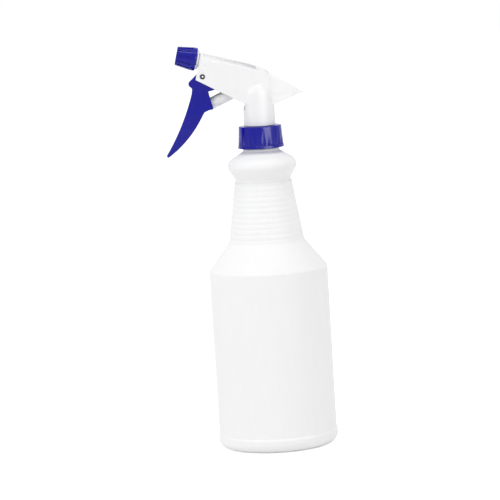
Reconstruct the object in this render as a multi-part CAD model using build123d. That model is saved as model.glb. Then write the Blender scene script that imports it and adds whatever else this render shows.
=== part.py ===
from build123d import *
import os
from math import atan, cos, degrees, radians, sin, tan

# A trigger spray bottle. Millimetres, +Z up. The origin is the centre of the base, on the surface
# that the bottle stands on, and the nozzle points towards -X.

os.makedirs("parts", exist_ok=True)

# ---------------------------------------------------------------- bottle
BOTTLE_WALL = 1.2
BODY_RADIUS = 44.1
BODY_HEIGHT = 130.5  # base to shoulder edge
BASE_RADIUS = 44.8  # bumper ring just above the base corner
BASE_RING_HEIGHT = 9.5
BASE_RING_STEP = 1.5  # height over which the ring runs back into the body
BASE_CORNER = 7.0
STAND_INNER_RADIUS = 30.0  # inner edge of the ring that the bottle stands on
PUSH_UP = 3.0  # how far the middle of the base is raised
PUSH_UP_SLOPE = 4.0
SHOULDER_HEIGHT = 23.0
SHOULDER_EDGE = 3.0
SHOULDER_BLEND = 4.0
GRIP_HEIGHT = 43.5
GRIP_BASE_RADIUS = 28.1
GRIP_TOP_RADIUS = 21.5
WAIST_RADIUS = 20.8
WAIST_STEP = 1.6
WAIST_HEIGHT = 3.2
BULGE_RADIUS = 25.5
BULGE_RISE = 6.4
BULGE_HEIGHT = 4.2
BULGE_ROUND = 5.0
WAIST_ROUND = 6.0
CROWN_RADIUS = 22.9  # where the rounded bulge turns into the cone under the neck
CROWN_RISE = 3.0
CONE_RISE = 5.5
NECK_RADIUS = 13.4
NECK_HEIGHT = 1.7
FINISH_RADIUS = 12.6  # the plain cylinder that carries the screw thread
FINISH_HEIGHT = 12.9
MOUTH_ROUND = 0.5

GROOVE_COUNT = 11  # grip grooves round the tapered neck
GROOVE_WIDTH = 1.6
GROOVE_DEPTH = 0.3
GROOVE_TOP_DROP = 1.2  # top groove below the top of the grip
GROOVE_FOOT_RISE = 3.0  # lowest groove above the foot of the grip

GROOVE_PITCH = (GRIP_HEIGHT - GROOVE_TOP_DROP - GROOVE_FOOT_RISE) / (GROOVE_COUNT - 1)
SHOULDER_Z = BODY_HEIGHT
GRIP_Z = SHOULDER_Z + SHOULDER_HEIGHT
GRIP_TOP_Z = GRIP_Z + GRIP_HEIGHT
WAIST_Z = GRIP_TOP_Z + WAIST_STEP
BULGE_Z = WAIST_Z + WAIST_HEIGHT + BULGE_RISE
CROWN_Z = BULGE_Z + BULGE_HEIGHT + CROWN_RISE
NECK_Z = CROWN_Z + CONE_RISE
FINISH_Z = NECK_Z + NECK_HEIGHT
MOUTH_Z = FINISH_Z + FINISH_HEIGHT
BORE_RADIUS = FINISH_RADIUS - BOTTLE_WALL

# ---------------------------------------------------------------- fits
RUNNING_FIT = 0.05  # radial, a shaft turning or sliding in its hole
PART_GAP = 0.3  # between pieces that pass or cover each other
SEAT_GAP = 0.1  # between pieces that rest on each other and move apart

# ---------------------------------------------------------------- closure, gasket
GASKET_THICKNESS = 1.0
GASKET_WIDTH = 3.2
FLANGE_THICKNESS = 1.5
CLOSURE_TOP_WALL = 1.4
CLOSURE_HEIGHT = 16.2
CLOSURE_RADIUS = 17.2  # of the hem at its lower edge
CLOSURE_TOP_RADIUS = 15.85
CLOSURE_HEM_STEP = 0.2  # the hem stands out from the wall above it
CLOSURE_ROUND = 0.7
CLOSURE_SIDE_WALL = 1.5
CLOSURE_HEM = 1.8  # height of the hem
RIB_RISE = 2.0  # lower end of the ribs above the lower edge
RIB_HEIGHT = 6.2
RIB_COUNT = 24
RIB_DEPTH = 0.5
RIB_VALLEY_RADIUS = 1.2

FLANGE_Z = MOUTH_Z + GASKET_THICKNESS
FLANGE_TOP_Z = FLANGE_Z + FLANGE_THICKNESS
CLOSURE_ROOF_Z = FLANGE_TOP_Z + SEAT_GAP
CLOSURE_TOP_Z = CLOSURE_ROOF_Z + CLOSURE_TOP_WALL
CLOSURE_Z = CLOSURE_TOP_Z - CLOSURE_HEIGHT
CLOSURE_BORE = CLOSURE_TOP_RADIUS - CLOSURE_SIDE_WALL
FLANGE_RADIUS = CLOSURE_BORE - PART_GAP
GASKET_INNER = FINISH_RADIUS - GASKET_WIDTH

# ---------------------------------------------------------------- pump body
STEM_COLLAR_RADIUS = 9.0  # passes through the closure's top
STEM_COLLAR_HEIGHT = 3.6
STEM_RADIUS = 6.4
RETAINER_RADIUS = 5.0
RETAINER_HEIGHT = 15.5  # above the flange
RETAINER_DROP = 10.5  # below the flange
RETAINER_FLANGE = 1.2
TUBE_RADIUS = 2.6
TUBE_WALL = 0.7
TUBE_SOCKET_RISE = 6.5  # how far the tube goes up above the flange
FEED_RADIUS = 1.5
BALL_RADIUS = 2.4
BALL_SEAT_DEPTH = 2.5
BALL_LIFT = 1.5
BALL_SIDE_GAP = 0.8
PORT_RISE = 3.0  # straight part of the passage above the ball

PUMP_SLOPE = 24.0  # degrees, rising away from the trigger
PUMP_AXIS_RISE = 37.8  # above the mouth, where the pump axis crosses the column axis
PUMP_BORE = 5.3
PUMP_WALL = 1.1
PUMP_END = 5.5  # bottom of the bore, along the pump axis from the column axis
PUMP_END_WALL = 1.5
PUMP_MOUTH = 17.5

SPRAY_SLOPE = 14.0  # degrees, rising towards the nozzle
SPRAY_AXIS_RISE = 44.5  # above the mouth, where the spray axis crosses the column axis
BARREL_BORE = 1.6
BARREL_RADIUS = 2.7
BARREL_REAR = 7.5  # along the spray axis from the column axis
CHAMBER_BORE = 2.4  # holds the discharge valve and the spinner
CHAMBER_RADIUS = 3.6
CHAMBER_REAR = 27.0
VALVE_SEAT = 30.0
COLLAR_RADIUS = 5.2
COLLAR_REAR = 36.5
COLLAR_FRONT = 45.0
NOSE_RADIUS = 4.2
NOSE_FRONT = 56.0
RISER_RADIUS = 2.6
RISER_SETBACK = 0.8  # of the riser from the rear end of the barrel
WEB_THICKNESS = 1.4
SADDLE_HALF_WIDTH = 3.8  # block between the stem and the pump cylinder
SADDLE_DROP = 6.0
LATCH_HALF_WIDTH = 4.0  # catch that holds the shroud, in its window
LATCH_REACH = 11.2
LATCH_GAP = 0.6
PLUG_LENGTH = 1.2

PUMP_AXIS_Z = MOUTH_Z + PUMP_AXIS_RISE
SPRAY_AXIS_Z = MOUTH_Z + SPRAY_AXIS_RISE
PUMP_RADIUS = PUMP_BORE + PUMP_WALL
PUMP_DIRECTION = (-cos(radians(PUMP_SLOPE)), 0, -sin(radians(PUMP_SLOPE)))
SPRAY_DIRECTION = (-cos(radians(SPRAY_SLOPE)), 0, sin(radians(SPRAY_SLOPE)))
PUMP_PLANE = Plane(origin=(0, 0, PUMP_AXIS_Z), x_dir=(0, 1, 0), z_dir=PUMP_DIRECTION)
SPRAY_PLANE = Plane(origin=(0, 0, SPRAY_AXIS_Z), x_dir=(0, 1, 0), z_dir=SPRAY_DIRECTION)
RISER_REACH = BARREL_REAR + RISER_SETBACK + RISER_RADIUS
RETAINER_TOP_Z = FLANGE_Z + RETAINER_HEIGHT
RETAINER_Z = FLANGE_Z - RETAINER_DROP
TUBE_TOP_Z = FLANGE_Z + TUBE_SOCKET_RISE

# ---------------------------------------------------------------- valves, piston, springs
VALVE_TIP_RADIUS = 0.8
VALVE_HEAD_RADIUS = 2.1
VALVE_STEM_RADIUS = 1.1
VALVE_NOSE = 1.0  # how far the cone reaches into the seat
VALVE_HEAD_LENGTH = 1.2
VALVE_STEM_LENGTH = 2.6
SPINNER_REAR = 37.0
SPINNER_SHAFT_RADIUS = 1.5
SPINNER_HEAD_LENGTH = 4.0
SPINNER_FLANGE = 1.2
SPINNER_SLOTS = 3
SPINNER_SLOT_WIDTH = 0.7
VALVE_SPRING_WIRE = 0.25
VALVE_SPRING_PITCH = 1.1

PISTON_RADIUS = 4.4
PISTON_WALL = 1.0
PISTON_REAR = 13.4  # along the pump axis, at rest
PISTON_BEAD = 0.35
PISTON_BEAD_LENGTH = 0.6
SEAL_LENGTH = 3.0
SEAL_WAIST = 0.45
PISTON_NOSE = 37.0  # centre of the rounded end that the trigger pushes
PISTON_SPRING_WIRE = 0.35
PISTON_SPRING_COILS = 10

# ---------------------------------------------------------------- nozzle
NOZZLE_REAR = COLLAR_FRONT + 0.2
NOZZLE_LENGTH = 15.3
NOZZLE_REAR_RADIUS = 8.0
NOZZLE_RADIUS = 8.6
NOZZLE_FRONT_RADIUS = 6.9
NOZZLE_BACK_CONE = 0.7
NOZZLE_BAND = 2.0
NOZZLE_FLUTES = 12
FLUTE_RADIUS = 1.1
FLUTE_DEPTH = 0.5
NOZZLE_EDGE = 0.4
NOZZLE_DISH_RADIUS = 3.6
NOZZLE_DISH_DEPTH = 1.6
ORIFICE_RADIUS = 0.4
SWIRL_RADIUS = 1.6
SWIRL_DEPTH = 0.5
NOZZLE_SEAL_SECTION = 1.1
NOZZLE_SEAL_LENGTH = 1.6

# ---------------------------------------------------------------- trigger, pivot
PIVOT_REACH = 40.1  # in front of the column axis
PIVOT_RISE = 42.9  # above the mouth
PIN_RADIUS = 1.8
PIN_ROUND = 0.5
PIN_DIMPLE_RADIUS = 0.8
PIN_DIMPLE_DEPTH = 0.8
HUB_RADIUS = 4.5
TRIGGER_SIDE_GAP = 0.4
TRIGGER_WIDE = 8.2  # half width where the fingers pull
TRIGGER_TIP_WIDE = 5.0
TRIGGER_FLARE = 20.0  # radius of the bends where its width changes
TRIGGER_WAIST = 12.0
TRIGGER_TIP_ROUND = 3.0
TRIGGER_NECK_DROP = 14.0  # below the pivot, where it starts to widen
TRIGGER_WIDE_TOP = 26.0
TRIGGER_WIDE_FOOT = 40.0
TRIGGER_FRONT_WALL = 1.8
TRIGGER_SIDE_WALL = 1.5
TRIGGER_REACH = 29.8  # pivot to tip, along X
TRIGGER_DROP = 58.0  # pivot to tip, along Z
PUSHER_SLOPE = 14.0  # degrees, normal of the face that pushes the piston
PUSHER_GAP = 0.2
PUSHER_TOP = 14.0  # below the pivot
PUSHER_FOOT = 27.0  # below the pivot
HOLLOW_MARGIN = 6.0  # solid length left at the hub and at the tip

PIVOT_X = -PIVOT_REACH
PIVOT_Z = MOUTH_Z + PIVOT_RISE

# ---------------------------------------------------------------- shroud
SHROUD_WALL = 1.3
SPINE_WALL = 1.2
SPINE_ROUND = 1.6  # of the ridge along the top
SPINE_BEND = 60.0  # radius of the shallow bend in the top line
SPINE_REAR = 6.5  # behind the column axis, where the top runs down into the tail
SPINE_REAR_RISE = 45.0
SPINE_REAR_ROUND = 4.0
CHEEK_ROUND = 0.5
CHEEK_FRONT_ROUND = 0.8
CHEEK_CORNER = 2.0
CHEEK_REAR_ROUND = 3.0
CHEEK_REAR = 8.6  # behind the column axis
COLUMN_RADIUS = 11.4
COLUMN_TOP_RADIUS = 10.4
COLUMN_STRAIGHT = 22.5  # height of the tapered part of the column
DOME_HEIGHT = 9.8
WINDOW_HALF_WIDTH = 5.8
WINDOW_RISE = 16.8  # lower edge of the front window above the mouth
WINDOW_HEIGHT = 4.8
TAIL_HALF_WIDTH = 5.6
TAIL_TIP_HALF_WIDTH = 3.4
TAIL_REACH = 34.8
TAIL_TIP_ROUND = 0.6
TAIL_CORNER = 2.0
PIN_RECESS_RADIUS = 2.1
PIN_RECESS_DEPTH = 0.7
PIN_END_DEPTH = 0.2  # of the pin's ends below the cheeks

SHROUD_Z = CLOSURE_TOP_Z + PART_GAP
CHEEK_INNER = PUMP_RADIUS + PART_GAP
CHEEK_HALF_WIDTH = CHEEK_INNER + SHROUD_WALL
SPINE_INNER = CHAMBER_RADIUS + 0.2
SPINE_HALF_WIDTH = SPINE_INNER + SPINE_WALL
HUB_HALF_WIDTH = CHEEK_INNER - TRIGGER_SIDE_GAP

FILTER_RADIUS = 4.0
FILTER_HEIGHT = 9.0
FILTER_SLOTS = 6
FILTER_SLOT_WIDTH = 1.2
FILTER_WALL = 0.9
FILTER_BASE_GAP = 2.0
FILTER_LEDGE = 0.8  # stops the tube in the filter


# ---------------------------------------------------------------- helpers
def section(points, radii):
    """A closed face in the XZ plane, with each corner rounded by its radius."""
    return Plane.XZ * make_face(FilletPolyline(*points, radius=radii, close=True))


def turned(points, radii=0.0):
    """A solid of revolution about Z, from (radius, height) points."""
    return revolve(section(points, radii), Axis.Z)


def rod(radius, low, high):
    """A cylinder about Z between two heights."""
    return Pos(0, 0, (low + high) / 2) * Cylinder(radius, high - low)


def ring(inner, outer, low, high):
    """A tube about Z between two heights."""
    return rod(outer, low, high) - rod(inner, low - 1, high + 1)


def slab(points, radii, half_width):
    """A side outline given an equal width on both sides of the XZ plane."""
    return extrude(section(points, radii), half_width, both=True)


def around(solid, count, start=0.0):
    """Copies of a solid, spread evenly about Z."""
    return [Rot(0, 0, start + 360.0 * i / count) * solid for i in range(count)]


def coil(mean_radius, wire_radius, low, high, pitch):
    """A spring about Z, with its wire as a six-sided bar."""
    path = Pos(0, 0, low + wire_radius) * Helix(pitch, high - low - 2 * wire_radius, mean_radius)
    profile = Plane(origin=path @ 0, z_dir=path % 0) * RegularPolygon(wire_radius, 6)
    return sweep(profile, path=path, is_frenet=True)


def from_mouth(*points):
    """Outline points, given as reach along X and rise above the bottle's mouth."""
    return [(x, MOUTH_Z + rise) for x, rise in points]


def from_pivot(*points):
    """Outline points, given from the trigger's pivot."""
    return [(PIVOT_X + x, PIVOT_Z + z) for x, z in points]


# ---------------------------------------------------------------- bottle
def bottle_outline():
    bulge_top = BULGE_Z + BULGE_HEIGHT
    ring_top = BASE_RING_HEIGHT + BASE_RING_STEP
    points = [
        (0, PUSH_UP),
        (STAND_INNER_RADIUS - PUSH_UP_SLOPE, PUSH_UP),
        (STAND_INNER_RADIUS, 0),
        (BASE_RADIUS, 0),
        (BASE_RADIUS, BASE_RING_HEIGHT),
        (BODY_RADIUS, ring_top),
        (BODY_RADIUS, SHOULDER_Z),
        (GRIP_BASE_RADIUS, GRIP_Z),
        (GRIP_TOP_RADIUS, GRIP_TOP_Z),
        (WAIST_RADIUS, WAIST_Z),
        (WAIST_RADIUS, WAIST_Z + WAIST_HEIGHT),
        (BULGE_RADIUS, BULGE_Z),
        (BULGE_RADIUS, bulge_top),
        (CROWN_RADIUS, CROWN_Z),
        (NECK_RADIUS, NECK_Z),
        (NECK_RADIUS, FINISH_Z),
        (FINISH_RADIUS, FINISH_Z),
        (FINISH_RADIUS, MOUTH_Z),
        (0, MOUTH_Z),
    ]
    radii = [0, 2, 1.5, BASE_CORNER, 0.8, 0.8, SHOULDER_EDGE, SHOULDER_BLEND, 0.6, 0.6]
    radii += [WAIST_ROUND, BULGE_ROUND, BULGE_ROUND, BULGE_ROUND, 1.4, 0.3, 0.3, MOUTH_ROUND, 0]
    return section(points, radii)


def grip_grooves():
    slope = (GRIP_BASE_RADIUS - GRIP_TOP_RADIUS) / GRIP_HEIGHT
    for i in range(GROOVE_COUNT):
        drop = GROOVE_TOP_DROP + GROOVE_PITCH * i
        z = GRIP_TOP_Z - drop
        radius = GRIP_TOP_RADIUS + slope * drop
        # the V is twice as deep as the groove, so that half of it lies outside the wall
        outer = radius + GROOVE_DEPTH
        yield turned([(radius - GROOVE_DEPTH, z), (outer, z - GROOVE_WIDTH), (outer, z + GROOVE_WIDTH)])


def bottle():
    outline = bottle_outline()
    whole = outline + mirror(outline, Plane.YZ)
    inner = offset(whole, -BOTTLE_WALL) & (Plane.XZ * Pos(BASE_RADIUS, MOUTH_Z / 2) * Rectangle(
        2 * BASE_RADIUS, 2 * MOUTH_Z
    ))
    body = revolve(outline, Axis.Z)
    for groove in grip_grooves():
        body -= groove
    body -= revolve(inner, Axis.Z)
    return body - rod(BORE_RADIUS, FINISH_Z, MOUTH_Z + 1)


# ---------------------------------------------------------------- closure and gasket
def closure():
    wall = CLOSURE_RADIUS - CLOSURE_HEM_STEP
    taper = (wall - CLOSURE_TOP_RADIUS) / CLOSURE_HEIGHT
    above_hem = wall - taper * CLOSURE_HEM
    shell = turned(
        [
            (CLOSURE_BORE, CLOSURE_Z),
            (CLOSURE_RADIUS, CLOSURE_Z),
            (above_hem + CLOSURE_HEM_STEP, CLOSURE_Z + CLOSURE_HEM),
            (above_hem, CLOSURE_Z + CLOSURE_HEM),
            (CLOSURE_TOP_RADIUS, CLOSURE_TOP_Z),
            (STEM_COLLAR_RADIUS + PART_GAP, CLOSURE_TOP_Z),
            (STEM_COLLAR_RADIUS + PART_GAP, CLOSURE_ROOF_Z),
            (CLOSURE_BORE, CLOSURE_ROOF_Z),
        ],
        [0.2, 0.2, 0, 0, CLOSURE_ROUND, 0, 0, 0],
    )
    # the valleys between the ribs are scooped out by slim rods that lean with the taper
    middle = RIB_RISE + RIB_HEIGHT / 2
    reach = wall - taper * middle + RIB_VALLEY_RADIUS - RIB_DEPTH
    scoop = Pos(reach, 0, CLOSURE_Z + middle) * Rot(0, -degrees(atan(taper)), 0) * rod(
        RIB_VALLEY_RADIUS, -RIB_HEIGHT / 2, RIB_HEIGHT / 2
    )
    return shell - around(scoop, RIB_COUNT)


def gasket():
    return ring(GASKET_INNER, FINISH_RADIUS, MOUTH_Z, FLANGE_Z)


# ---------------------------------------------------------------- pump body
def spray_z(reach):
    """Height of the spray axis at a reach in front of the column axis."""
    return SPRAY_AXIS_Z + reach * tan(radians(SPRAY_SLOPE))


def pump_z(reach):
    """Height of the pump axis at a reach in front of the column axis."""
    return PUMP_AXIS_Z - reach * tan(radians(PUMP_SLOPE))


def pump_point(distance):
    """A point on the pump axis, at a distance in front of the column axis."""
    return (
        PUMP_DIRECTION[0] * distance,
        0,
        PUMP_AXIS_Z + PUMP_DIRECTION[2] * distance,
    )


def housing():
    collar_top = FLANGE_TOP_Z + STEM_COLLAR_HEIGHT
    stem_top = pump_z(0) - PUMP_RADIUS
    body = rod(FLANGE_RADIUS, FLANGE_Z, FLANGE_TOP_Z)
    body += rod(STEM_COLLAR_RADIUS, FLANGE_Z, collar_top)
    body += rod(STEM_RADIUS, FLANGE_Z, stem_top)
    body += PUMP_PLANE * rod(PUMP_RADIUS, PUMP_END - PUMP_END_WALL, PUMP_MOUTH)
    body += SPRAY_PLANE * rod(BARREL_RADIUS, BARREL_REAR, CHAMBER_REAR)
    body += SPRAY_PLANE * rod(CHAMBER_RADIUS, CHAMBER_REAR, COLLAR_REAR)
    body += SPRAY_PLANE * rod(COLLAR_RADIUS, COLLAR_REAR, COLLAR_FRONT)
    body += SPRAY_PLANE * rod(NOSE_RADIUS, COLLAR_FRONT, NOSE_FRONT)
    body += housing_webs() + shroud_latch()
    body += Pos(-RISER_REACH, 0, 0) * rod(RISER_RADIUS, pump_z(RISER_REACH), spray_z(RISER_REACH))
    return body - housing_passages()


def housing_webs():
    """The upright plates that join stem, cylinder and barrel."""
    front = CHAMBER_REAR * cos(radians(SPRAY_SLOPE))
    rear = RISER_REACH
    upper = slab(
        [
            (-rear, spray_z(rear)),
            (-rear, pump_z(rear)),
            (-PUMP_MOUTH * cos(radians(PUMP_SLOPE)), pump_z(PUMP_MOUTH) + PUMP_RADIUS / 2),
            (-front, spray_z(front)),
        ],
        0,
        WEB_THICKNESS / 2,
    )
    half = (STEM_RADIUS**2 - SADDLE_HALF_WIDTH**2) ** 0.5
    foot = pump_z(half) - PUMP_RADIUS - SADDLE_DROP
    saddle = slab(
        [(-half, foot), (half, foot), (half, pump_z(0)), (-half, pump_z(half))],
        0,
        SADDLE_HALF_WIDTH,
    )
    return upper + saddle


def shroud_latch():
    """The wedge on the front of the stem that the shroud snaps over."""
    low = MOUTH_Z + WINDOW_RISE + LATCH_GAP
    high = MOUTH_Z + WINDOW_RISE + WINDOW_HEIGHT - LATCH_GAP
    root = STEM_RADIUS / 2
    lip = low + WINDOW_HEIGHT / 4
    return slab(
        [(-root, low), (-LATCH_REACH, low), (-LATCH_REACH, lip), (-STEM_RADIUS, high), (-root, high)],
        0,
        LATCH_HALF_WIDTH,
    )


def housing_passages():
    chamber_z = ball_rest_z() + BALL_RADIUS + BALL_LIFT + SEAT_GAP
    port_start = (0, 0, chamber_z + PORT_RISE)
    port_end = pump_point(PUMP_END + 2 * FEED_RADIUS)
    port = Edge.make_line(port_start, port_end)
    port_plane = Plane(origin=port_start, z_dir=port % 0)
    riser_low = pump_z(RISER_REACH)
    return [
        rod(RETAINER_RADIUS, FLANGE_Z - 1, RETAINER_TOP_Z),
        rod(BALL_RADIUS + BALL_SIDE_GAP, RETAINER_TOP_Z - 1, chamber_z),
        rod(FEED_RADIUS, chamber_z - 1, chamber_z + PORT_RISE),
        port_plane * rod(FEED_RADIUS, -0.5, port.length),
        PUMP_PLANE * rod(PUMP_BORE, PUMP_END, PUMP_MOUTH + 1),
        Pos(-RISER_REACH, 0, 0) * rod(FEED_RADIUS, riser_low, spray_z(RISER_REACH)),
        SPRAY_PLANE * rod(BARREL_BORE, BARREL_REAR - 1, VALVE_SEAT + 1),
        SPRAY_PLANE * rod(CHAMBER_BORE, VALVE_SEAT, NOSE_FRONT + 1),
    ]


def barrel_plug():
    """Closes the rear end of the barrel, short of the riser."""
    cap = rod(BARREL_RADIUS, BARREL_REAR - PLUG_LENGTH, BARREL_REAR)
    stub = rod(BARREL_BORE, BARREL_REAR, BARREL_REAR + PLUG_LENGTH)
    return SPRAY_PLANE * (cap + stub)


def tube_retainer():
    """Holds the dip tube in the stem, and is the seat of the inlet ball."""
    flange_radius = GASKET_INNER - PART_GAP
    seat_low = RETAINER_TOP_Z - BALL_SEAT_DEPTH
    body = rod(RETAINER_RADIUS, RETAINER_Z, RETAINER_TOP_Z)
    body += rod(flange_radius, FLANGE_Z - RETAINER_FLANGE, FLANGE_Z)
    body -= rod(TUBE_RADIUS, RETAINER_Z - 1, TUBE_TOP_Z)
    body -= rod(FEED_RADIUS, TUBE_TOP_Z - 1, seat_low + 1)
    seat = Pos(0, 0, RETAINER_TOP_Z - BALL_SEAT_DEPTH / 2) * Cone(
        FEED_RADIUS, BALL_RADIUS + BALL_SIDE_GAP, BALL_SEAT_DEPTH
    )
    return body - seat


def ball_rest_z():
    """Height of the ball's centre when it lies in its conical seat."""
    rise = (BALL_RADIUS + BALL_SIDE_GAP - FEED_RADIUS) / BALL_SEAT_DEPTH
    touching = (BALL_RADIUS + RUNNING_FIT) * (1 + rise**2) ** 0.5
    return RETAINER_TOP_Z - BALL_SEAT_DEPTH + (touching - FEED_RADIUS) / rise


def inlet_ball():
    return Pos(0, 0, ball_rest_z()) * Sphere(BALL_RADIUS)


def dip_tube():
    foot = PUSH_UP + BOTTLE_WALL + FILTER_BASE_GAP + FILTER_WALL
    return ring(TUBE_RADIUS - TUBE_WALL, TUBE_RADIUS, foot + FILTER_HEIGHT / 2, TUBE_TOP_Z)


def tube_filter():
    """A slotted cup pushed on to the foot of the dip tube."""
    low = PUSH_UP + BOTTLE_WALL + FILTER_BASE_GAP
    tube_foot = low + FILTER_WALL + FILTER_HEIGHT / 2
    top = low + FILTER_HEIGHT + FILTER_WALL
    cup = rod(FILTER_RADIUS, low, top)
    cup -= rod(TUBE_RADIUS, tube_foot, top + 1)
    cup -= rod(FILTER_RADIUS - FILTER_WALL, low + FILTER_WALL, tube_foot - FILTER_LEDGE)
    cup -= rod(TUBE_RADIUS - TUBE_WALL, low + FILTER_WALL, top)
    slot = Pos(FILTER_RADIUS, 0, low + FILTER_WALL + FILTER_HEIGHT / 5) * Box(
        4 * FILTER_WALL, FILTER_SLOT_WIDTH, FILTER_HEIGHT / 4
    )
    return cup - around(slot, FILTER_SLOTS)


# ---------------------------------------------------------------- discharge parts
def discharge_valve():
    tip = VALVE_SEAT - VALVE_NOSE
    head = VALVE_SEAT + VALVE_HEAD_LENGTH
    return SPRAY_PLANE * turned(
        [
            (0, tip),
            (VALVE_TIP_RADIUS, tip),
            (VALVE_HEAD_RADIUS, head),
            (VALVE_STEM_RADIUS, head),
            (VALVE_STEM_RADIUS, head + VALVE_STEM_LENGTH),
            (0, head + VALVE_STEM_LENGTH),
        ]
    )


def valve_spring():
    mean_radius = CHAMBER_BORE - 2 * VALVE_SPRING_WIRE
    low = VALVE_SEAT + VALVE_HEAD_LENGTH + RUNNING_FIT
    return SPRAY_PLANE * coil(
        mean_radius, VALVE_SPRING_WIRE, low, SPINNER_REAR - RUNNING_FIT, VALVE_SPRING_PITCH
    )


def spinner():
    """The swirl insert: a shaft with a slotted head against the nozzle's swirl chamber."""
    head_radius = CHAMBER_BORE - RUNNING_FIT
    head_rear = NOSE_FRONT - SPINNER_HEAD_LENGTH
    body = rod(head_radius, SPINNER_REAR, SPINNER_REAR + SPINNER_FLANGE)
    body += rod(SPINNER_SHAFT_RADIUS, SPINNER_REAR, NOSE_FRONT)
    body += rod(head_radius, head_rear, NOSE_FRONT)
    slot = Pos(head_radius, 0, (SPINNER_REAR + NOSE_FRONT) / 2) * Box(
        2 * (head_radius - SPINNER_SHAFT_RADIUS), SPINNER_SLOT_WIDTH, 2 * (NOSE_FRONT - SPINNER_REAR)
    )
    return SPRAY_PLANE * (body - around(slot, SPINNER_SLOTS))


# ---------------------------------------------------------------- piston
def piston():
    """A hollow plunger with a rounded end for the trigger and a bead that holds its seal."""
    inner = PISTON_RADIUS - PISTON_WALL
    bead_end = PISTON_REAR + PISTON_BEAD_LENGTH
    shoulder = bead_end + SEAL_LENGTH
    body = rod(PISTON_RADIUS, PISTON_REAR, PISTON_NOSE)
    body += rod(PISTON_RADIUS + PISTON_BEAD, PISTON_REAR, bead_end)
    body += rod(PISTON_RADIUS + PISTON_BEAD, shoulder, shoulder + PISTON_BEAD_LENGTH)
    body += Pos(0, 0, PISTON_NOSE) * Sphere(PISTON_RADIUS)
    body -= rod(inner, PISTON_REAR - 1, PISTON_NOSE - PISTON_WALL)
    return PUMP_PLANE * body


def piston_seal():
    low = PISTON_REAR + PISTON_BEAD_LENGTH
    high = low + SEAL_LENGTH
    lip = PUMP_BORE - RUNNING_FIT
    middle = (low + high) / 2
    return PUMP_PLANE * turned(
        [
            (PISTON_RADIUS, low),
            (lip, low),
            (lip - SEAL_WAIST, middle),
            (lip, high),
            (PISTON_RADIUS, high),
        ]
    )


def piston_spring():
    inner = PISTON_RADIUS - PISTON_WALL
    mean_radius = inner - PISTON_SPRING_WIRE - PART_GAP
    low = PUMP_END + RUNNING_FIT
    high = PISTON_NOSE - PISTON_WALL - RUNNING_FIT
    pitch = (high - low - 2 * PISTON_SPRING_WIRE) / PISTON_SPRING_COILS
    return PUMP_PLANE * coil(mean_radius, PISTON_SPRING_WIRE, low, high, pitch)


# ---------------------------------------------------------------- nozzle
def nozzle():
    front = NOZZLE_REAR + NOZZLE_LENGTH
    widest = NOZZLE_REAR + NOZZLE_BACK_CONE
    band = widest + NOZZLE_BAND
    bore = NOSE_RADIUS + RUNNING_FIT
    seal_bore = bore + NOZZLE_SEAL_SECTION
    cavity = NOSE_FRONT + SEAT_GAP
    body = turned(
        [
            (0, NOZZLE_REAR),
            (NOZZLE_REAR_RADIUS, NOZZLE_REAR),
            (NOZZLE_RADIUS, widest),
            (NOZZLE_RADIUS, band),
            (NOZZLE_FRONT_RADIUS, front),
            (0, front),
        ],
        [0, 0.3, 0.3, 0.3, NOZZLE_EDGE, 0],
    )
    body -= rod(bore, NOZZLE_REAR - 1, cavity)
    body -= rod(seal_bore, NOZZLE_REAR - 1, NOZZLE_REAR + NOZZLE_SEAL_LENGTH)
    body -= rod(SWIRL_RADIUS, cavity - 1, cavity + SWIRL_DEPTH)
    body -= rod(ORIFICE_RADIUS, cavity, front + 1)
    body -= rod(NOZZLE_DISH_RADIUS, front - NOZZLE_DISH_DEPTH, front + 1)
    lean = (NOZZLE_RADIUS - NOZZLE_FRONT_RADIUS) / (front - band)
    flute = extrude(Plane.XY * Circle(FLUTE_RADIUS), front - band + 2)
    start = NOZZLE_RADIUS + FLUTE_RADIUS - FLUTE_DEPTH
    flute = Pos(start, 0, band) * Rot(0, -degrees(atan(lean)), 0) * flute
    return SPRAY_PLANE * (body - around(flute, NOZZLE_FLUTES))


def nozzle_seal():
    inner = NOSE_RADIUS + RUNNING_FIT
    outer = inner + NOZZLE_SEAL_SECTION - RUNNING_FIT
    low = NOZZLE_REAR
    return SPRAY_PLANE * ring(inner, outer, low, low + NOZZLE_SEAL_LENGTH - RUNNING_FIT)


# ---------------------------------------------------------------- trigger and pivot
def trigger_side():
    """The trigger's side outline: hub, hooked front, long curved blade and piston step."""
    tip_x, tip_z = -TRIGGER_REACH, -TRIGGER_DROP
    start, front_mid, tip_front = from_pivot((-8.0, -12.6), (-16.7, -34.7), (tip_x, tip_z + 0.9))
    tip_back, back_mid, back_top = from_pivot((tip_x + 2.2, tip_z), (-10.5, -43.2), (-2.0, -29.8))
    front = ThreePointArc(start, front_mid, tip_front)
    tip = ThreePointArc(tip_front, *from_pivot((tip_x + 0.6, tip_z - 0.2)), tip_back)
    back = ThreePointArc(tip_back, back_mid, back_top)
    step = from_pivot(
        (-2.0, -29.8), (0.2, -26.4), (3.0, -25.0), (6.7, -24.4), (4.4, -15.4), (3.3, -11.3),
        (8.4, -10.3), (8.4, -7.0), (4.0, -2.0), (3.0, 3.0), (-3.5, 2.6), (-7.5, -1.2),
        (-10.9, -4.0), (-10.9, -7.0), (-8.0, -9.8), (-8.0, -12.6),
    )
    radii = [2.0, 2.5, 0.5, 3.0, 0.8, 0.3, 1.2, 1.5, 1.5, 1.5, 2.0, 1.4, 1.4, 1.5]
    rest = FilletPolyline(*step, radius=radii)
    return Plane.XZ * make_face([front, tip, back, rest])


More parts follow.
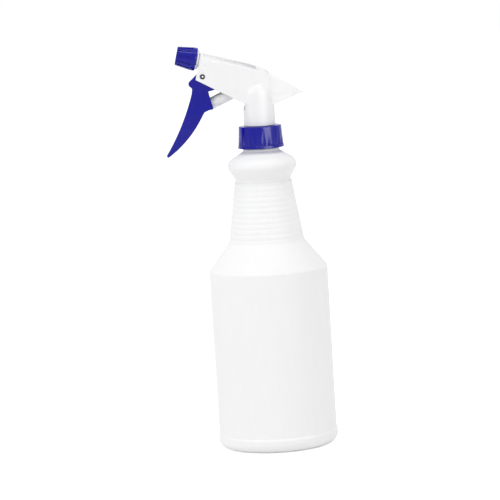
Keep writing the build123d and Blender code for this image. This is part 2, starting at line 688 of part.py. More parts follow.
def trigger_width(inset=0.0):
    """The trigger's front outline: narrow between the cheeks, wide at the fingers."""
    narrow = HUB_HALF_WIDTH - inset
    wide = TRIGGER_WIDE - inset
    tip = TRIGGER_TIP_WIDE - inset
    half = [
        (narrow, PIVOT_Z + TRIGGER_NECK_DROP),
        (narrow, PIVOT_Z - TRIGGER_NECK_DROP),
        (wide, PIVOT_Z - TRIGGER_WIDE_TOP),
        (wide, PIVOT_Z - TRIGGER_WIDE_FOOT),
        (tip, PIVOT_Z - TRIGGER_DROP - 1),
    ]
    points = half + [(-y, z) for y, z in reversed(half)]
    rounds = [0, TRIGGER_FLARE, TRIGGER_WAIST, TRIGGER_FLARE, TRIGGER_TIP_ROUND]
    radii = rounds + rounds[::-1]
    face = Plane.YZ * make_face(FilletPolyline(*points, radius=radii, close=True))
    return extrude(face, 2 * PIVOT_REACH, both=True)


def pusher_plane_x(z):
    """X of the face that pushes the piston, at a height."""
    slope = radians(PUSHER_SLOPE)
    centre = pump_point(PISTON_NOSE)
    face_x = centre[0] - (PISTON_RADIUS + PUSHER_GAP) / cos(slope)
    return face_x - (z - centre[2]) * tan(slope)


def trigger():
    side = trigger_side()
    body = extrude(side, TRIGGER_WIDE + 1, both=True) & trigger_width()
    hollow = extrude(trigger_hollow(side), TRIGGER_WIDE, both=True)
    body -= hollow & trigger_width(TRIGGER_SIDE_WALL)
    hub_axis = Pos(PIVOT_X, 0, PIVOT_Z) * Rot(90, 0, 0)
    body += hub_axis * Cylinder(HUB_RADIUS, 2 * HUB_HALF_WIDTH)
    return body - hub_axis * Cylinder(PIN_RADIUS + RUNNING_FIT, 4 * HUB_HALF_WIDTH)


def trigger_hollow(side):
    """The open back of the trigger, behind its front wall, above and below the pusher."""
    shift = Pos(TRIGGER_FRONT_WALL, 0, 0)
    behind = (shift * side) + (Pos(4 * TRIGGER_FRONT_WALL, 0, 0) * side)
    top = PIVOT_Z - PUSHER_TOP
    low = PIVOT_Z - PUSHER_FOOT
    far = 2 * PIVOT_REACH
    block = section(
        [
            (-far, low),
            (pusher_plane_x(low), low),
            (pusher_plane_x(top), top),
            (-far, top),
        ],
        0,
    )
    limit = section(
        [
            (-far, PIVOT_Z - TRIGGER_DROP + HOLLOW_MARGIN),
            (0, PIVOT_Z - TRIGGER_DROP + HOLLOW_MARGIN),
            (0, PIVOT_Z - HOLLOW_MARGIN),
            (-far, PIVOT_Z - HOLLOW_MARGIN),
        ],
        0,
    )
    return (behind & limit) - block


def pivot_pin():
    length = 2 * (CHEEK_HALF_WIDTH - PIN_END_DEPTH)
    pin = Cylinder(PIN_RADIUS, length)
    pin = fillet(pin.edges().filter_by(GeomType.CIRCLE), PIN_ROUND)
    dimple = Cylinder(PIN_DIMPLE_RADIUS, 2 * PIN_DIMPLE_DEPTH)
    pin -= [Pos(0, 0, side * length / 2) * dimple for side in (-1, 1)]
    return Pos(PIVOT_X, 0, PIVOT_Z) * Rot(90, 0, 0) * pin


# ---------------------------------------------------------------- shroud
def spray_point(distance, offset):
    """A side-view point beside the spray axis, as reach along X and rise above the mouth."""
    slope = radians(SPRAY_SLOPE)
    x = -distance * cos(slope) + offset * sin(slope)
    rise = SPRAY_AXIS_RISE + distance * sin(slope) + offset * cos(slope)
    return x, rise


def cheek_side():
    """Side outline of the flat cheeks."""
    points = from_mouth(
        (-45.4, 40.8), (-43.1, 49.7), (-38.9, 50.4), (-31.7, 53.6), (-15.6, 49.8),
        (CHEEK_REAR, 42.6), (CHEEK_REAR, 24.0), (-9.5, 20.6),
    )
    radii = [CHEEK_FRONT_ROUND, CHEEK_FRONT_ROUND, CHEEK_CORNER, CHEEK_CORNER]
    radii += [SPINE_BEND, CHEEK_REAR_ROUND, CHEEK_CORNER, CHEEK_CORNER]
    return section(points, radii)


def spine_side():
    """Side outline of the narrow spine that stands above the cheeks and runs into the tail."""
    front = COLLAR_REAR - SEAT_GAP
    low = spray_point(front, -COLLAR_RADIUS)
    high = spray_point(front, COLLAR_RADIUS + 0.2)
    rear = (SPINE_REAR, SPINE_REAR_RISE)
    points = from_mouth(low, high, (-4.5, 49.8), rear, (SPINE_REAR, 30.0))
    return section(points, [0, SEAT_GAP, SPINE_BEND, SPINE_REAR_ROUND, 0])


def tail_side():
    points = from_mouth(
        (0, 47.8), (SPINE_REAR, SPINE_REAR_RISE), (TAIL_REACH, 26.4), (31.0, 26.1), (7.0, 17.6), (0, 17.6)
    )
    return section(points, [0, SPINE_REAR_ROUND, TAIL_TIP_ROUND, TAIL_CORNER, TAIL_CORNER, 0])


def tail_plan(inset=0.0):
    """The tail seen from above, narrowing to its tip, as a tall solid."""
    wide = TAIL_HALF_WIDTH - inset
    tip = TAIL_TIP_HALF_WIDTH - inset
    half = [(0, wide), (CHEEK_REAR, wide), (TAIL_REACH, tip)]
    plan = make_face(Polyline(*half, *[(x, -y) for x, y in reversed(half)], close=True))
    return Pos(0, 0, MOUTH_Z) * extrude(plan, 2 * SPRAY_AXIS_RISE)


def column(inset=0.0):
    """The round column with its domed top, or its hollow when inset by the wall."""
    low = SHROUD_Z - inset
    top = SHROUD_Z + COLUMN_STRAIGHT
    crown = top + DOME_HEIGHT - inset
    points = [
        (0, low),
        (COLUMN_RADIUS - inset, low),
        (COLUMN_TOP_RADIUS - inset, top),
        (COLUMN_TOP_RADIUS - inset, crown),
        (0, crown),
    ]
    return turned(points, [0, 0, 0, DOME_HEIGHT - inset - 0.5, 0])


def rounded_slab(side, half_width, radius):
    """A side outline given its width, with the edges round both flat faces rounded."""
    solid = extrude(side, half_width, both=True)
    rims = [edge for face in solid.faces().filter_by(Axis.Y) for edge in face.edges()]
    return fillet(rims, radius)


def shroud_outer():
    cheeks = rounded_slab(cheek_side(), CHEEK_HALF_WIDTH, CHEEK_ROUND)
    spine = rounded_slab(spine_side(), SPINE_HALF_WIDTH, SPINE_ROUND)
    tail = extrude(tail_side(), TAIL_HALF_WIDTH, both=True) & tail_plan()
    return cheeks + spine + tail + column()


def cheek_hollow():
    """The room between the cheeks, open below and, under the collar, in front."""
    room = offset(cheek_side(), -SHROUD_WALL)
    below = Pos(0, 0, -2 * SHROUD_WALL) * room
    front = section(from_mouth((-60, 30), (-60, 48.2), (-41, 48.2), (-41, 30)), 0)
    return extrude(room + below + front, CHEEK_INNER, both=True)


def spine_hollow():
    """The room for the barrel, open into the cheeks below and to the collar in front."""
    room = offset(spine_side(), -SPINE_WALL)
    front = SPRAY_PLANE * rod(COLLAR_RADIUS + SEAT_GAP, COLLAR_REAR - SEAT_GAP, NOZZLE_REAR)
    ahead = Pos(-2 * SPINE_WALL, 0, -2 * SPINE_WALL) * room
    rim = SPRAY_PLANE * rod(SPINE_INNER, CHAMBER_REAR, COLLAR_REAR)
    return extrude(room + ahead, SPINE_INNER, both=True) + rim + front


def tail_hollow():
    room = offset(tail_side(), -SHROUD_WALL)
    room += Pos(0, 0, -2 * SHROUD_WALL) * room
    return extrude(room, TAIL_HALF_WIDTH, both=True) & tail_plan(SHROUD_WALL)


def shroud():
    skirt_top = pump_z(COLUMN_RADIUS) - PUMP_RADIUS / cos(radians(PUMP_SLOPE)) - PART_GAP
    skirt = (column() - column(SHROUD_WALL)) & rod(2 * COLUMN_RADIUS, SHROUD_Z, skirt_top)
    body = shroud_outer() - (cheek_hollow() + spine_hollow() - skirt)
    body -= tail_hollow() - column() - slab(
        from_mouth((-60, 0), (-60, 60), (CHEEK_REAR, 60), (CHEEK_REAR, 0)), 0, CHEEK_HALF_WIDTH
    )
    body -= column(SHROUD_WALL)
    body -= column_window()
    pivot = Pos(PIVOT_X, 0, PIVOT_Z) * Rot(90, 0, 0)
    body -= pivot * Cylinder(PIN_RADIUS, 4 * CHEEK_HALF_WIDTH)
    recess = pivot * Cylinder(PIN_RECESS_RADIUS, PIN_RECESS_DEPTH)
    depth = CHEEK_HALF_WIDTH - PIN_RECESS_DEPTH / 2
    return body - [Pos(0, side * depth, 0) * recess for side in (-1, 1)]


def column_window():
    """The latch window low on the front of the column."""
    middle = MOUTH_Z + WINDOW_RISE + WINDOW_HEIGHT / 2
    return Pos(-COLUMN_RADIUS, 0, middle) * Box(COLUMN_RADIUS, 2 * WINDOW_HALF_WIDTH, WINDOW_HEIGHT)


PIECES = {
    "bottle": bottle,
    "closure": closure,
    "gasket": gasket,
    "housing": housing,
    "barrel_plug": barrel_plug,
    "tube_retainer": tube_retainer,
    "inlet_ball": inlet_ball,
    "dip_tube": dip_tube,
    "tube_filter": tube_filter,
    "discharge_valve": discharge_valve,
    "valve_spring": valve_spring,
    "spinner": spinner,
    "piston": piston,
    "piston_seal": piston_seal,
    "piston_spring": piston_spring,
    "nozzle": nozzle,
    "nozzle_seal": nozzle_seal,
    "trigger": trigger,
    "pivot_pin": pivot_pin,
    "shroud": shroud,
}

for name, make in PIECES.items():
    export_step(make(), f"parts/{name}.step")
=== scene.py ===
"""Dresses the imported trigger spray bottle: its surfaces, finishes, light and camera.

Sizes are in millimetres, and MM turns them into Blender's metres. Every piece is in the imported
model's own frame: +Z up, the origin under the middle of the bottle, and the nozzle towards -X.
"""

import logging
from dataclasses import dataclass, field
from enum import Enum
from math import atan2, ceil, cos, degrees, hypot, pi, radians, sin, tan
from typing import Iterable

import bmesh
import bpy
from mathutils import Matrix, Vector


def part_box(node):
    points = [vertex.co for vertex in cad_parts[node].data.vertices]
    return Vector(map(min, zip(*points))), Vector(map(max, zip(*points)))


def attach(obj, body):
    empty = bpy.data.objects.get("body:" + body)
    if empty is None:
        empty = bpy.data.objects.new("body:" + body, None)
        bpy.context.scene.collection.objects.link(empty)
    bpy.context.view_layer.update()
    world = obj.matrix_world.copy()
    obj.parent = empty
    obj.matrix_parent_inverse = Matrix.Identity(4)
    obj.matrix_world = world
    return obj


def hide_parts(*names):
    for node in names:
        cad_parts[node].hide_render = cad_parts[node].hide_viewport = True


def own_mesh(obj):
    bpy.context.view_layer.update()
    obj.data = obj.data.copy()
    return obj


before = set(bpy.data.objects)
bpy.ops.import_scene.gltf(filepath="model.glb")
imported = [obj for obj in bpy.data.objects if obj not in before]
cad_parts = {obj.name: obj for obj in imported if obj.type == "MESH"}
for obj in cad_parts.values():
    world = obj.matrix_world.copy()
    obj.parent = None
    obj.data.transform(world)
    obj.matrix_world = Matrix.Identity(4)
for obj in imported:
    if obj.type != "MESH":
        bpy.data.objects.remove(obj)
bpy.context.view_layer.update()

MM = 0.001
WELD = 0.002 * MM  # points closer than this are one
ROUNDING_STEP = radians(14.0)  # the most that a rounded corner turns from point to point
ROUNDING_LENGTH = 1.2  # and the furthest apart that its points are
STRAIGHT = 0.01  # a turn below this, in radians, is not rounded
WHITE_LIGHT = (1.0, 1.0, 1.0, 1.0)
Point = tuple[float, float]
Corner = tuple[float, float, float]  # across, height and rounding
Point3 = tuple[float, float, float]
Colour = tuple[float, float, float]
Material = bpy.types.Material
NodeTree = bpy.types.NodeTree
Socket = bpy.types.NodeSocket
Outputs = bpy.types.bpy_prop_collection  # the output sockets of a node
Value = float | tuple[float, ...] | Socket  # a constant, or a socket to link


class Body(Enum):
    """The bodies that a piece can ride on."""

    BOTTLE = "bottle"
    CLOSURE = "closure"
    SPRAYER = "sprayer"
    TRIGGER = "trigger"
    NOZZLE = "nozzle"


class Slot(Enum):
    """The record's material slots."""

    BOTTLE = "bottle_plastic"
    WHITE = "white_plastic"
    BLUE = "blue_plastic"
    NATURAL = "natural_plastic"
    SEAL = "soft_seal"
    STEEL = "steel"


logging.basicConfig(level=logging.INFO, format="%(levelname)s %(message)s")
log = logging.getLogger("spray_bottle")


# ---- shader graphs
class Graph:
    """Adds and links the nodes of one material, world or node group."""

    def __init__(self, tree: NodeTree) -> None:
        """Keeps the tree that nodes are added to."""
        self.tree = tree

    def add(self, kind: str, inputs: dict | None = None, **settings) -> bpy.types.Node:
        """Adds a node.

        Args:
            kind: the node's type name.
            inputs: socket name or index, to a constant or an output socket to link.
            settings: attributes of the node.

        Returns:
            The new node.
        """
        node = self.tree.nodes.new(kind)
        for name, value in settings.items():
            setattr(node, name, value)
        for name, value in (inputs or {}).items():
            if isinstance(value, Socket):
                self.tree.links.new(value, node.inputs[name])
            else:
                node.inputs[name].default_value = value
        return node

    def mix(self, factor: Value, first: Value, second: Value) -> Socket:
        """Mixes two colours: the first at factor 0, the second at factor 1."""
        inputs = {0: factor, 6: first, 7: second}
        return self.add("ShaderNodeMix", inputs, data_type="RGBA", clamp_factor=True).outputs[2]

    def math(self, operation: str, first: Value, second: Value) -> Socket:
        """Adds a math node and returns its output."""
        return self.add("ShaderNodeMath", {0: first, 1: second}, operation=operation).outputs[0]

    def spread(self, value: Value, low: float, high: float) -> Socket:
        """Maps 0..1 on to low..high, without clamping."""
        return self.add("ShaderNodeMapRange", {0: value, 3: low, 4: high}, clamp=False).outputs[0]

    def band(self, value: Value, low: float, high: float) -> Socket:
        """Maps low..high on to 0..1, with the rest clamped."""
        return self.add("ShaderNodeMapRange", {0: value, 1: low, 2: high}).outputs[0]

    def noise(self, where: Value, scale: Value, detail: float, roughness: float = 0.5) -> Socket:
        """Adds a noise texture and returns its value."""
        inputs = {"Vector": where, "Scale": scale, "Detail": detail, "Roughness": roughness}
        return self.add("ShaderNodeTexNoise", inputs).outputs["Fac"]

    def effect(self, tree: NodeTree, where: Value, **inputs: Value) -> Outputs:
        """Adds a shared effect and returns its outputs."""
        return self.add("ShaderNodeGroup", {"Vector": where, **inputs}, node_tree=tree).outputs


def new_effect(
    name: str, inputs: dict[str, float | Point3], masks: tuple[str, ...]
) -> tuple[Graph, Outputs]:
    """Makes an empty node group that is given a vector and gives masks.

    Args:
        name: the group's name.
        inputs: the default value of each further input.
        masks: the names of its outputs.

    Returns:
        The group's graph and what its input node gives.
    """
    tree = bpy.data.node_groups.new(name, "ShaderNodeTree")
    tree.interface.new_socket("Vector", in_out="INPUT", socket_type="NodeSocketVector")
    for socket, value in inputs.items():
        kind = "NodeSocketFloat" if isinstance(value, float) else "NodeSocketVector"
        made = tree.interface.new_socket(socket, in_out="INPUT", socket_type=kind)
        made.default_value = value
    for socket in masks:
        tree.interface.new_socket(socket, in_out="OUTPUT", socket_type="NodeSocketFloat")
    graph = Graph(tree)
    return graph, graph.add("NodeGroupInput").outputs


def new_material(name: str, slot: Slot | None = None) -> tuple[Material, Graph]:
    """Makes a material without nodes.

    Args:
        name: the material's name.
        slot: the record's slot that it fills, if any.

    Returns:
        The material and its graph.
    """
    material = bpy.data.materials.new(name)
    if slot:
        material["slot"] = slot.value
    material.use_nodes = True
    material.node_tree.nodes.clear()
    return material, Graph(material.node_tree)


class Effects:
    """The surface effects that several finishes share, each a node group built once."""

    def __init__(self) -> None:
        """Builds the three groups."""
        self.moulding = self._moulding()
        self.handling = self._handling()
        self.flow = self._flow()

    def _moulding(self) -> NodeTree:
        """Moulded plastic: soft mottling and the fine grain of the mould.

        Returns:
            The group, which gives a mottling mask and a height.
        """
        inputs = {"Mottle Scale": 60.0, "Grain": 0.5}
        graph, given = new_effect("moulded_surface", inputs, ("Mottle", "Height"))
        where = given["Vector"]
        grain = graph.noise(where, scale=1800.0, detail=2.0)
        waves = graph.noise(where, scale=90.0, detail=1.0)
        fine = graph.math("MULTIPLY", grain, given["Grain"])
        height = graph.math("ADD", fine, graph.math("MULTIPLY", waves, 1.2))
        mottle = graph.noise(where, given["Mottle Scale"], detail=4.0, roughness=0.55)
        graph.add("NodeGroupOutput", {"Mottle": mottle, "Height": height})
        return graph.tree

    def _handling(self) -> NodeTree:
        """Wear from handling: fine scratches and dull scuffed patches.

        Returns:
            The group, which gives a scratch mask and a scuff mask.
        """
        graph, given = new_effect("handling_wear", {}, ("Scratches", "Scuffs"))
        where = given["Vector"]
        stretch = {"Vector": where, "Scale": (1.0, 0.6, 0.06), "Rotation": (0.5, 0.3, 0.9)}
        slanted = graph.add("ShaderNodeMapping", stretch).outputs[0]
        lines = graph.noise(slanted, scale=260.0, detail=3.0, roughness=0.7)
        patches = graph.noise(where, scale=35.0, detail=6.0, roughness=0.65)
        scratches = graph.band(lines, low=0.66, high=0.74)
        scuffs = graph.band(patches, low=0.52, high=0.72)
        graph.add("NodeGroupOutput", {"Scratches": scratches, "Scuffs": scuffs})
        return graph.tree

    def _flow(self) -> NodeTree:
        """Streaks that molten plastic leaves along the way it flowed.

        Returns:
            The group, which gives a streak mask.
        """
        inputs = {"Scale": 300.0, "Stretch": (1.0, 1.0, 0.12)}
        graph, given = new_effect("flow_streaks", inputs, ("Streaks",))
        stretch = {0: given["Vector"], 1: given["Stretch"]}
        along = graph.add("ShaderNodeVectorMath", stretch, operation="MULTIPLY").outputs[0]
        noise = graph.noise(along, given["Scale"], detail=3.0)
        streaks = graph.band(noise, low=0.42, high=0.68)
        graph.add("NodeGroupOutput", {"Streaks": streaks})
        return graph.tree


# ---- finishes
@dataclass(frozen=True)
class PlasticFinish:
    """A moulded plastic: its colours, how glossy it is and how it has worn."""

    name: str
    slot: Slot
    colour: Colour
    shade: Colour  # what the mottling tends to
    streak: Colour  # colour of the flow streaks and scratches
    streak_share: float = 0.0
    mottle_scale: float = 60.0
    mottle_share: float = 0.5
    roughness: float = 0.35
    roughness_spread: float = 0.06
    scuff_roughness: float = 0.08
    grain: float = 0.5
    bump: float = 0.12
    bump_depth: float = 0.1
    scratch_share: float = 0.06
    scratch_depth: float = 0.4
    specular: float = 0.5
    subsurface: float = 0.0

    def build(self, effects: Effects) -> Material:
        """Makes the material.

        Args:
            effects: the shared node groups.

        Returns:
            The material.
        """
        material, graph = new_material(self.name, self.slot)
        where = graph.add("ShaderNodeTexCoord").outputs["Object"]
        settings = {"Mottle Scale": self.mottle_scale, "Grain": self.grain}
        moulding = graph.effect(effects.moulding, where, **settings)
        handling = graph.effect(effects.handling, where)
        flow = graph.effect(effects.flow, where)
        mottle = graph.math("MULTIPLY", moulding["Mottle"], self.mottle_share)
        colour = graph.mix(mottle, (*self.colour, 1.0), (*self.shade, 1.0))
        for mask, share in (
            (flow["Streaks"], self.streak_share),
            (handling["Scratches"], self.scratch_share),
        ):
            colour = graph.mix(graph.math("MULTIPLY", mask, share), colour, (*self.streak, 1.0))
        low, high = self.roughness - self.roughness_spread, self.roughness + self.roughness_spread
        scuffed = graph.math("MULTIPLY", handling["Scuffs"], self.scuff_roughness)
        scratched = graph.math("MULTIPLY", handling["Scratches"], self.scratch_depth)
        relief = {
            "Strength": self.bump,
            "Distance": self.bump_depth * MM,
            "Height": graph.math("SUBTRACT", moulding["Height"], scratched),
        }
        shader = {
            "Base Color": colour,
            "Roughness": graph.math("ADD", graph.spread(moulding["Mottle"], low, high), scuffed),
            "Normal": graph.add("ShaderNodeBump", relief).outputs[0],
            "Specular IOR Level": self.specular,
            "Subsurface Weight": self.subsurface,
            "Subsurface Radius": (1.0, 1.0, 0.9),
            "Subsurface Scale": 2 * MM,
        }
        surface = graph.add("ShaderNodeBsdfPrincipled", shader).outputs[0]
        graph.add("ShaderNodeOutputMaterial", {"Surface": surface})
        return material


@dataclass(frozen=True)
class SteelFinish:
    """Drawn or turned steel: fine lines along its length and a little variation in gloss."""

    name: str
    colour: Colour
    dark: Colour
    slot: Slot = Slot.STEEL
    roughness: float = 0.28
    roughness_spread: float = 0.15
    line_scale: float = 1400.0
    line_stretch: Point3 = (1.0, 0.1, 1.0)
    line_share: float = 0.6
    bump: float = 0.15
    bump_depth: float = 0.05

    def build(self, effects: Effects) -> Material:
        """Makes the material.

        Args:
            effects: the shared node groups.

        Returns:
            The material.
        """
        material, graph = new_material(self.name, self.slot)
        where = graph.add("ShaderNodeTexCoord").outputs["Object"]
        settings = {"Scale": self.line_scale, "Stretch": self.line_stretch}
        lines = graph.effect(effects.flow, where, **settings)["Streaks"]
        scuffs = graph.effect(effects.handling, where)["Scuffs"]
        drawn = graph.math("MULTIPLY", lines, self.line_share)
        relief = {"Strength": self.bump, "Distance": self.bump_depth * MM, "Height": lines}
        rough = self.roughness + self.roughness_spread
        shader = {
            "Base Color": graph.mix(drawn, (*self.colour, 1.0), (*self.dark, 1.0)),
            "Roughness": graph.spread(scuffs, self.roughness, rough),
            "Normal": graph.add("ShaderNodeBump", relief).outputs[0],
            "Metallic": 1.0,
        }
        surface = graph.add("ShaderNodeBsdfPrincipled", shader).outputs[0]
        graph.add("ShaderNodeOutputMaterial", {"Surface": surface})
        return material


BOTTLE_WHITE = PlasticFinish(
    "satin_white_bottle", Slot.BOTTLE, colour=(0.91, 0.91, 0.91), shade=(0.88, 0.88, 0.88),
    streak=(0.94, 0.94, 0.94), streak_share=0.25, mottle_scale=38.0, roughness=0.5, grain=0.8,
    bump=0.14, specular=0.12,
)
HEAD_WHITE = PlasticFinish(
    "glossy_white_head", Slot.WHITE, colour=(0.872, 0.872, 0.878), shade=(0.84, 0.84, 0.85),
    streak=(0.92, 0.92, 0.93), streak_share=0.2, mottle_scale=70.0, roughness=0.44, grain=0.35,
    bump=0.10, specular=0.42,
)
BLUE = PlasticFinish(
    "glossy_blue", Slot.BLUE, colour=(0.006, 0.006, 0.29), shade=(0.004, 0.003, 0.24),
    streak=(0.02, 0.02, 0.40), streak_share=0.18, mottle_scale=55.0, roughness=0.15,
    roughness_spread=0.03, scuff_roughness=0.05, grain=0.3, bump=0.03, specular=0.22,
)
NATURAL = PlasticFinish(
    "natural_polymer", Slot.NATURAL, colour=(0.86, 0.86, 0.87), shade=(0.80, 0.80, 0.82),
    streak=(0.91, 0.91, 0.92), streak_share=0.3, roughness=0.38, specular=0.3, subsurface=0.15,
)
SEAL = PlasticFinish(
    "seal_rubber", Slot.SEAL, colour=(0.72, 0.72, 0.70), shade=(0.60, 0.60, 0.58),
    streak=(0.76, 0.76, 0.74), roughness=0.7, grain=1.0, bump=0.3,
)
STEEL = SteelFinish("bright_steel", colour=(0.62, 0.62, 0.64), dark=(0.34, 0.34, 0.36))
# painted dark reflection: near-black steel stands in for the dark surroundings that a domed pin end
# mirrors
DARK_REFLECTION_STEEL = SteelFinish("steel_painted_dark_reflection", colour=(0.05, 0.05, 0.06), dark=(0.02, 0.02, 0.02))


# ---- outlines and places
def rounded(corners: Iterable[Corner]) -> list[Point]:
    """Rounds the corners of a line.

    Args:
        corners: across, height and rounding of each corner, in millimetres.

    Returns:
        The points of the rounded line.
    """
    corners = list(corners)
    line = [corners[0][:2]]
    for before, corner, after in zip(corners, corners[1:], corners[2:]):
        here = Vector(corner[:2])
        back = (Vector(before[:2]) - here).normalized()
        ahead = (Vector(after[:2]) - here).normalized()
        turn = pi - back.angle(ahead)
        radius = corner[2]
        if radius == 0.0 or turn < STRAIGHT:
            line.append(corner[:2])
            continue
        reach = radius * tan(turn / 2)
        centre = here + (back + ahead).normalized() * radius / cos(turn / 2)
        first = here + back * reach - centre
        steps = max(2, ceil(turn / ROUNDING_STEP), ceil(turn * radius / ROUNDING_LENGTH))
        way = 1.0 if back.y * ahead.x - back.x * ahead.y > 0 else -1.0
        for i in range(steps + 1):
            angle = way * turn * i / steps
            x = centre.x + first.x * cos(angle) - first.y * sin(angle)
            y = centre.y + first.x * sin(angle) + first.y * cos(angle)
            line.append((x, y))
    line.append(corners[-1][:2])
    return line


def arc(first: Point, middle: Point, last: Point, steps: int) -> list[Point]:
    """Draws an arc through three points.

    Args:
        first: where it starts.
        middle: a point that it passes through.
        last: where it ends.
        steps: how many straight steps it has.

    Returns:
        Its points, first and last included.
    """
    a, b, c = Vector(first), Vector(middle), Vector(last)
    ab, ac = b - a, c - a
    twice = 2 * (ab.x * ac.y - ab.y * ac.x)
    x = ac.y * ab.length_squared - ab.y * ac.length_squared
    y = ab.x * ac.length_squared - ac.x * ab.length_squared
    centre = a + Vector((x, y)) / twice
    start = atan2(a.y - centre.y, a.x - centre.x)
    sweep = atan2(c.y - centre.y, c.x - centre.x) - start
    sweep = sweep % (2 * pi) if twice > 0 else -((-sweep) % (2 * pi))
    radius = (a - centre).length
    angles = [start + sweep * i / steps for i in range(steps + 1)]
    return [(centre.x + radius * cos(t), centre.y + radius * sin(t)) for t in angles]


def level(line: list[Point], height: float) -> float:
    """Reads how far across a line is at a height, where its heights only fall or only rise.

    Args:
        line: its points.
        height: the height to read at.

    Returns:
        The distance across.
    """
    for (x0, z0), (x1, z1) in zip(line, line[1:]):
        if min(z0, z1) <= height <= max(z0, z1) and z0 != z1:
            return x0 + (x1 - x0) * (height - z0) / (z1 - z0)
    return line[0][0] if abs(height - line[0][1]) < abs(height - line[-1][1]) else line[-1][0]


def swapped(line: list[Point]) -> list[Point]:
    """Swaps across and height."""
    return [(z, x) for x, z in line]


def between(line: list[Point], low: float, high: float) -> list[Point]:
    """Cuts a rising line off at two heights.

    Args:
        line: its points.
        low: the height of its first end.
        high: the height of its last end.

    Returns:
        The points of the part between them, with its two ends.
    """
    inner = [point for point in line if low < point[1] < high]
    return [(level(line, low), low), *inner, (level(line, high), high)]


def along(start: Vector, slope: float) -> Matrix:
    """A place whose Z axis runs forwards from a point and rises by a slope.

    Args:
        start: where the axis starts, in metres.
        slope: in radians, upwards towards -X.

    Returns:
        The place.
    """
    ahead = Vector((-cos(slope), 0.0, sin(slope)))
    across = Vector((0.0, 1.0, 0.0))
    place = Matrix((across, ahead.cross(across), ahead)).transposed().to_4x4()
    place.translation = start
    return place


SPRAY_SLOPE = radians(14.0)
SPRAY_AXIS = along(Vector((0.0, 0.0, 280.0)) * MM, SPRAY_SLOPE)
PIVOT = Vector((-40.1, 0.0, 278.4)) * MM


